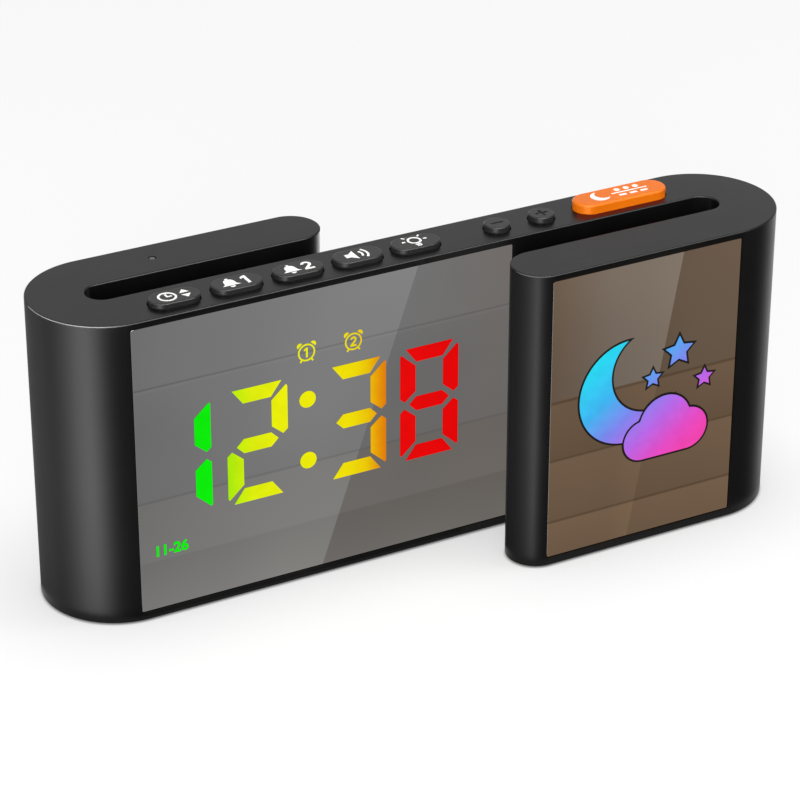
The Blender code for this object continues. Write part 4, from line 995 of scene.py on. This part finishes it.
# Clear acrylic over a dark hole: coloured nearly black, a painted shade of that hole, with a sharp gloss and a
# faint haze.
clear_acrylic, acrylic_tree, acrylic, acrylic_place = shaded_material("clear_acrylic")
haze = add(acrylic_tree, "ShaderNodeTexNoise", {"Vector": acrylic_place, "Scale": 1 / (0.8 * MM)})
haze_and_shade_ramp = add(acrylic_tree, "ShaderNodeValToRGB", {0: haze.outputs[0]})
haze_and_shade_ramp.color_ramp.elements[0].color = linear("141415")
haze_and_shade_ramp.color_ramp.elements[1].color = linear("242526")
feed(acrylic_tree, acrylic, {"IOR": 1.49, "Roughness": 0.06, "Base Color": haze_and_shade_ramp.outputs[0]})
fit(smooth(merged_copy("light_sensor", "sensor_light_pipe")), "clock", clear_acrylic, "clear_acrylic",
    "light_sensor")


# Screws: pan-head screws of plated steel with a cross recess, four in the bottom cover, where they
# hold in the shell's columns, and one in the battery door.

def lathe(name, profile, steps=40):
    """Turned solid from (radius, height) pairs between two points on the axis."""
    return loft(name, [flat_ring(circle((0, 0), radius, steps) if radius else [(0, 0)], height)
                       for radius, height in profile])


def cross_screw(name, length):
    """Screw whose head's face is at the bottom and whose axis runs up from it."""
    head = [(0, 0), (1.35, 0), (1.75, 0.12), (2.0, 0.35), (2.1, 0.65), (2.1, 1.0), (1.0, 1.0)]
    pitch = 0.5
    thread = []
    for turn in range(int((length - 1.2) / pitch)):
        thread += [(0.8, 1.0 + pitch * (turn + 0.5)), (1.0, 1.0 + pitch * (turn + 0.9))]
    tip = [(0.8, length - 0.1), (0.5, length + 0.7), (0, length + 1.0)]
    recess = [pad(f"{name}_slot_{index}", rounded_box(-a, a, -b, b, 0.1), -1, 0.55 + 0.01 * index)
              for index, (a, b) in enumerate(((1.15, 0.24), (0.24, 1.15)))]
    return smooth(carve(lathe(name, head + thread + tip, 32), recess))


COLUMN = INSIDE - 2.5     # a screw column stands this far from the centre line of its wing's round end
COLUMNS = {"left_end": (-BEND - ROW / 2 - COLUMN, ROW / 2), "right_end": (BEND + ROW / 2 + COLUMN, -ROW / 2),
           "rear_tip": (COLUMN - TIP, ROW), "front_tip": (TIP - COLUMN, -ROW)}
head_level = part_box("base_screw_left_end")[0].z / MM
base_screws = copies("base_screws", cross_screw("base_screw", 10.0),
                     [(x, y, head_level) for x, y in COLUMNS.values()], plated_steel)
fit(smooth(base_screws), "clock", plated_steel, "steel", *["base_screw_" + name for name in COLUMNS])

low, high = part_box("battery_door_screw")
door_screw = cross_screw("door_screw", (high.y - low.y) / MM - 1.0)
door_screw.data.transform(Matrix.Translation(((low.x + high.x) / 2, high.y, (low.z + high.z) / 2))
                          @ Matrix.Rotation(pi / 2, 4, "X"))
fit(door_screw, "clock", plated_steel, "steel", "battery_door_screw")


# Underside: the bottom cover of dull black ABS closes the shell's open foot. Six self-adhesive
# rubber feet sit in its shallow round pits.

dull_abs = moulded("black_abs_dull", "151515", 0.55, 0.25, grain=0.6, depth=0.012)
fit(smooth(merged_copy("bottom_cover", "bottom_cover_plate")), "clock", dull_abs, "dark_abs", "bottom_cover")

rubber = moulded("black_rubber", "1E1E1E", 0.82, 0.2, grain=0.5, depth=0.02)
FEET = {"rear_inner": (-28, ROW), "rear_outer": (-72, ROW), "left": (-72, 0),
        "front_inner": (28, -ROW), "front_outer": (72, -ROW), "right": (72, 0)}
foot = lathe("rubber_foot", [(0, 0), (3.3, 0), (3.62, 0.06), (3.8, 0.3), (3.8, 1.3), (0, 1.3)])
feet = copies("rubber_feet", foot, [(x, y, 0) for x, y in FEET.values()], rubber)
fit(smooth(feet), "clock", rubber, "rubber", *["foot_" + name for name in FEET])


# Inside: boards, reflector, light box, switches, speaker, cell and cables behind the panels. They
# are the CAD solids, each with the finish of its real material.

def finish_nodes(material, *names):
    for name in names:
        for slot in nodes[name].material_slots:
            slot.material = material


# Green solder mask over copper tracks on glass-fibre laminate: glossy, with paler straight lines.
laminate, board_tree, board_shader, board_place = shaded_material("solder_masked_laminate")
tracks = add(board_tree, "ShaderNodeTexBrick",
             {"Vector": board_place, "Color1": linear("14532B"), "Color2": linear("175C31"),
              "Mortar": linear("2A7A46"), "Scale": 1.0, "Mortar Size": 0.25 * MM,
              "Brick Width": 6 * MM, "Row Height": 1.6 * MM})
feed(board_tree, board_shader, {"Roughness": 0.35, "Base Color": tracks.outputs[0]})

white_abs = moulded("white_abs_moulded", "E2E2DE", 0.45, 0.5)
smoked_film = moulded("smoked_polyester_film", "101010", 0.6, 0.3, grain=0.8, depth=0.001)
cone_paper = moulded("coated_cone_paper", "171717", 0.85, 0.2, grain=0.7, depth=0.03)
cable_jacket = moulded("flat_cable_jacket", "DADAD6", 0.45, 0.5, grain=1.2)
cell_steel = metal("stainless_cell_can", "C8C8C4", 0.22, 0.6, (1, 1, 8))
finish_nodes(laminate, "display_board", "light_board", "main_board", "button_board")
finish_nodes(white_abs, "digit_reflector", "light_box", *[key[0] + "_plunger" for key in KEYS])
finish_nodes(smoked_film, "time_film", "light_film")
finish_nodes(dull_abs, "speaker_frame", "cell_holder", *[key[0] + "_switch" for key in KEYS])
finish_nodes(cone_paper, "speaker_cone")
finish_nodes(cell_steel, "coin_cell")
finish_nodes(plated_steel, "board_screw_1", "board_screw_2", "board_screw_3")
finish_nodes(cable_jacket, "rear_ribbon", "front_ribbon")
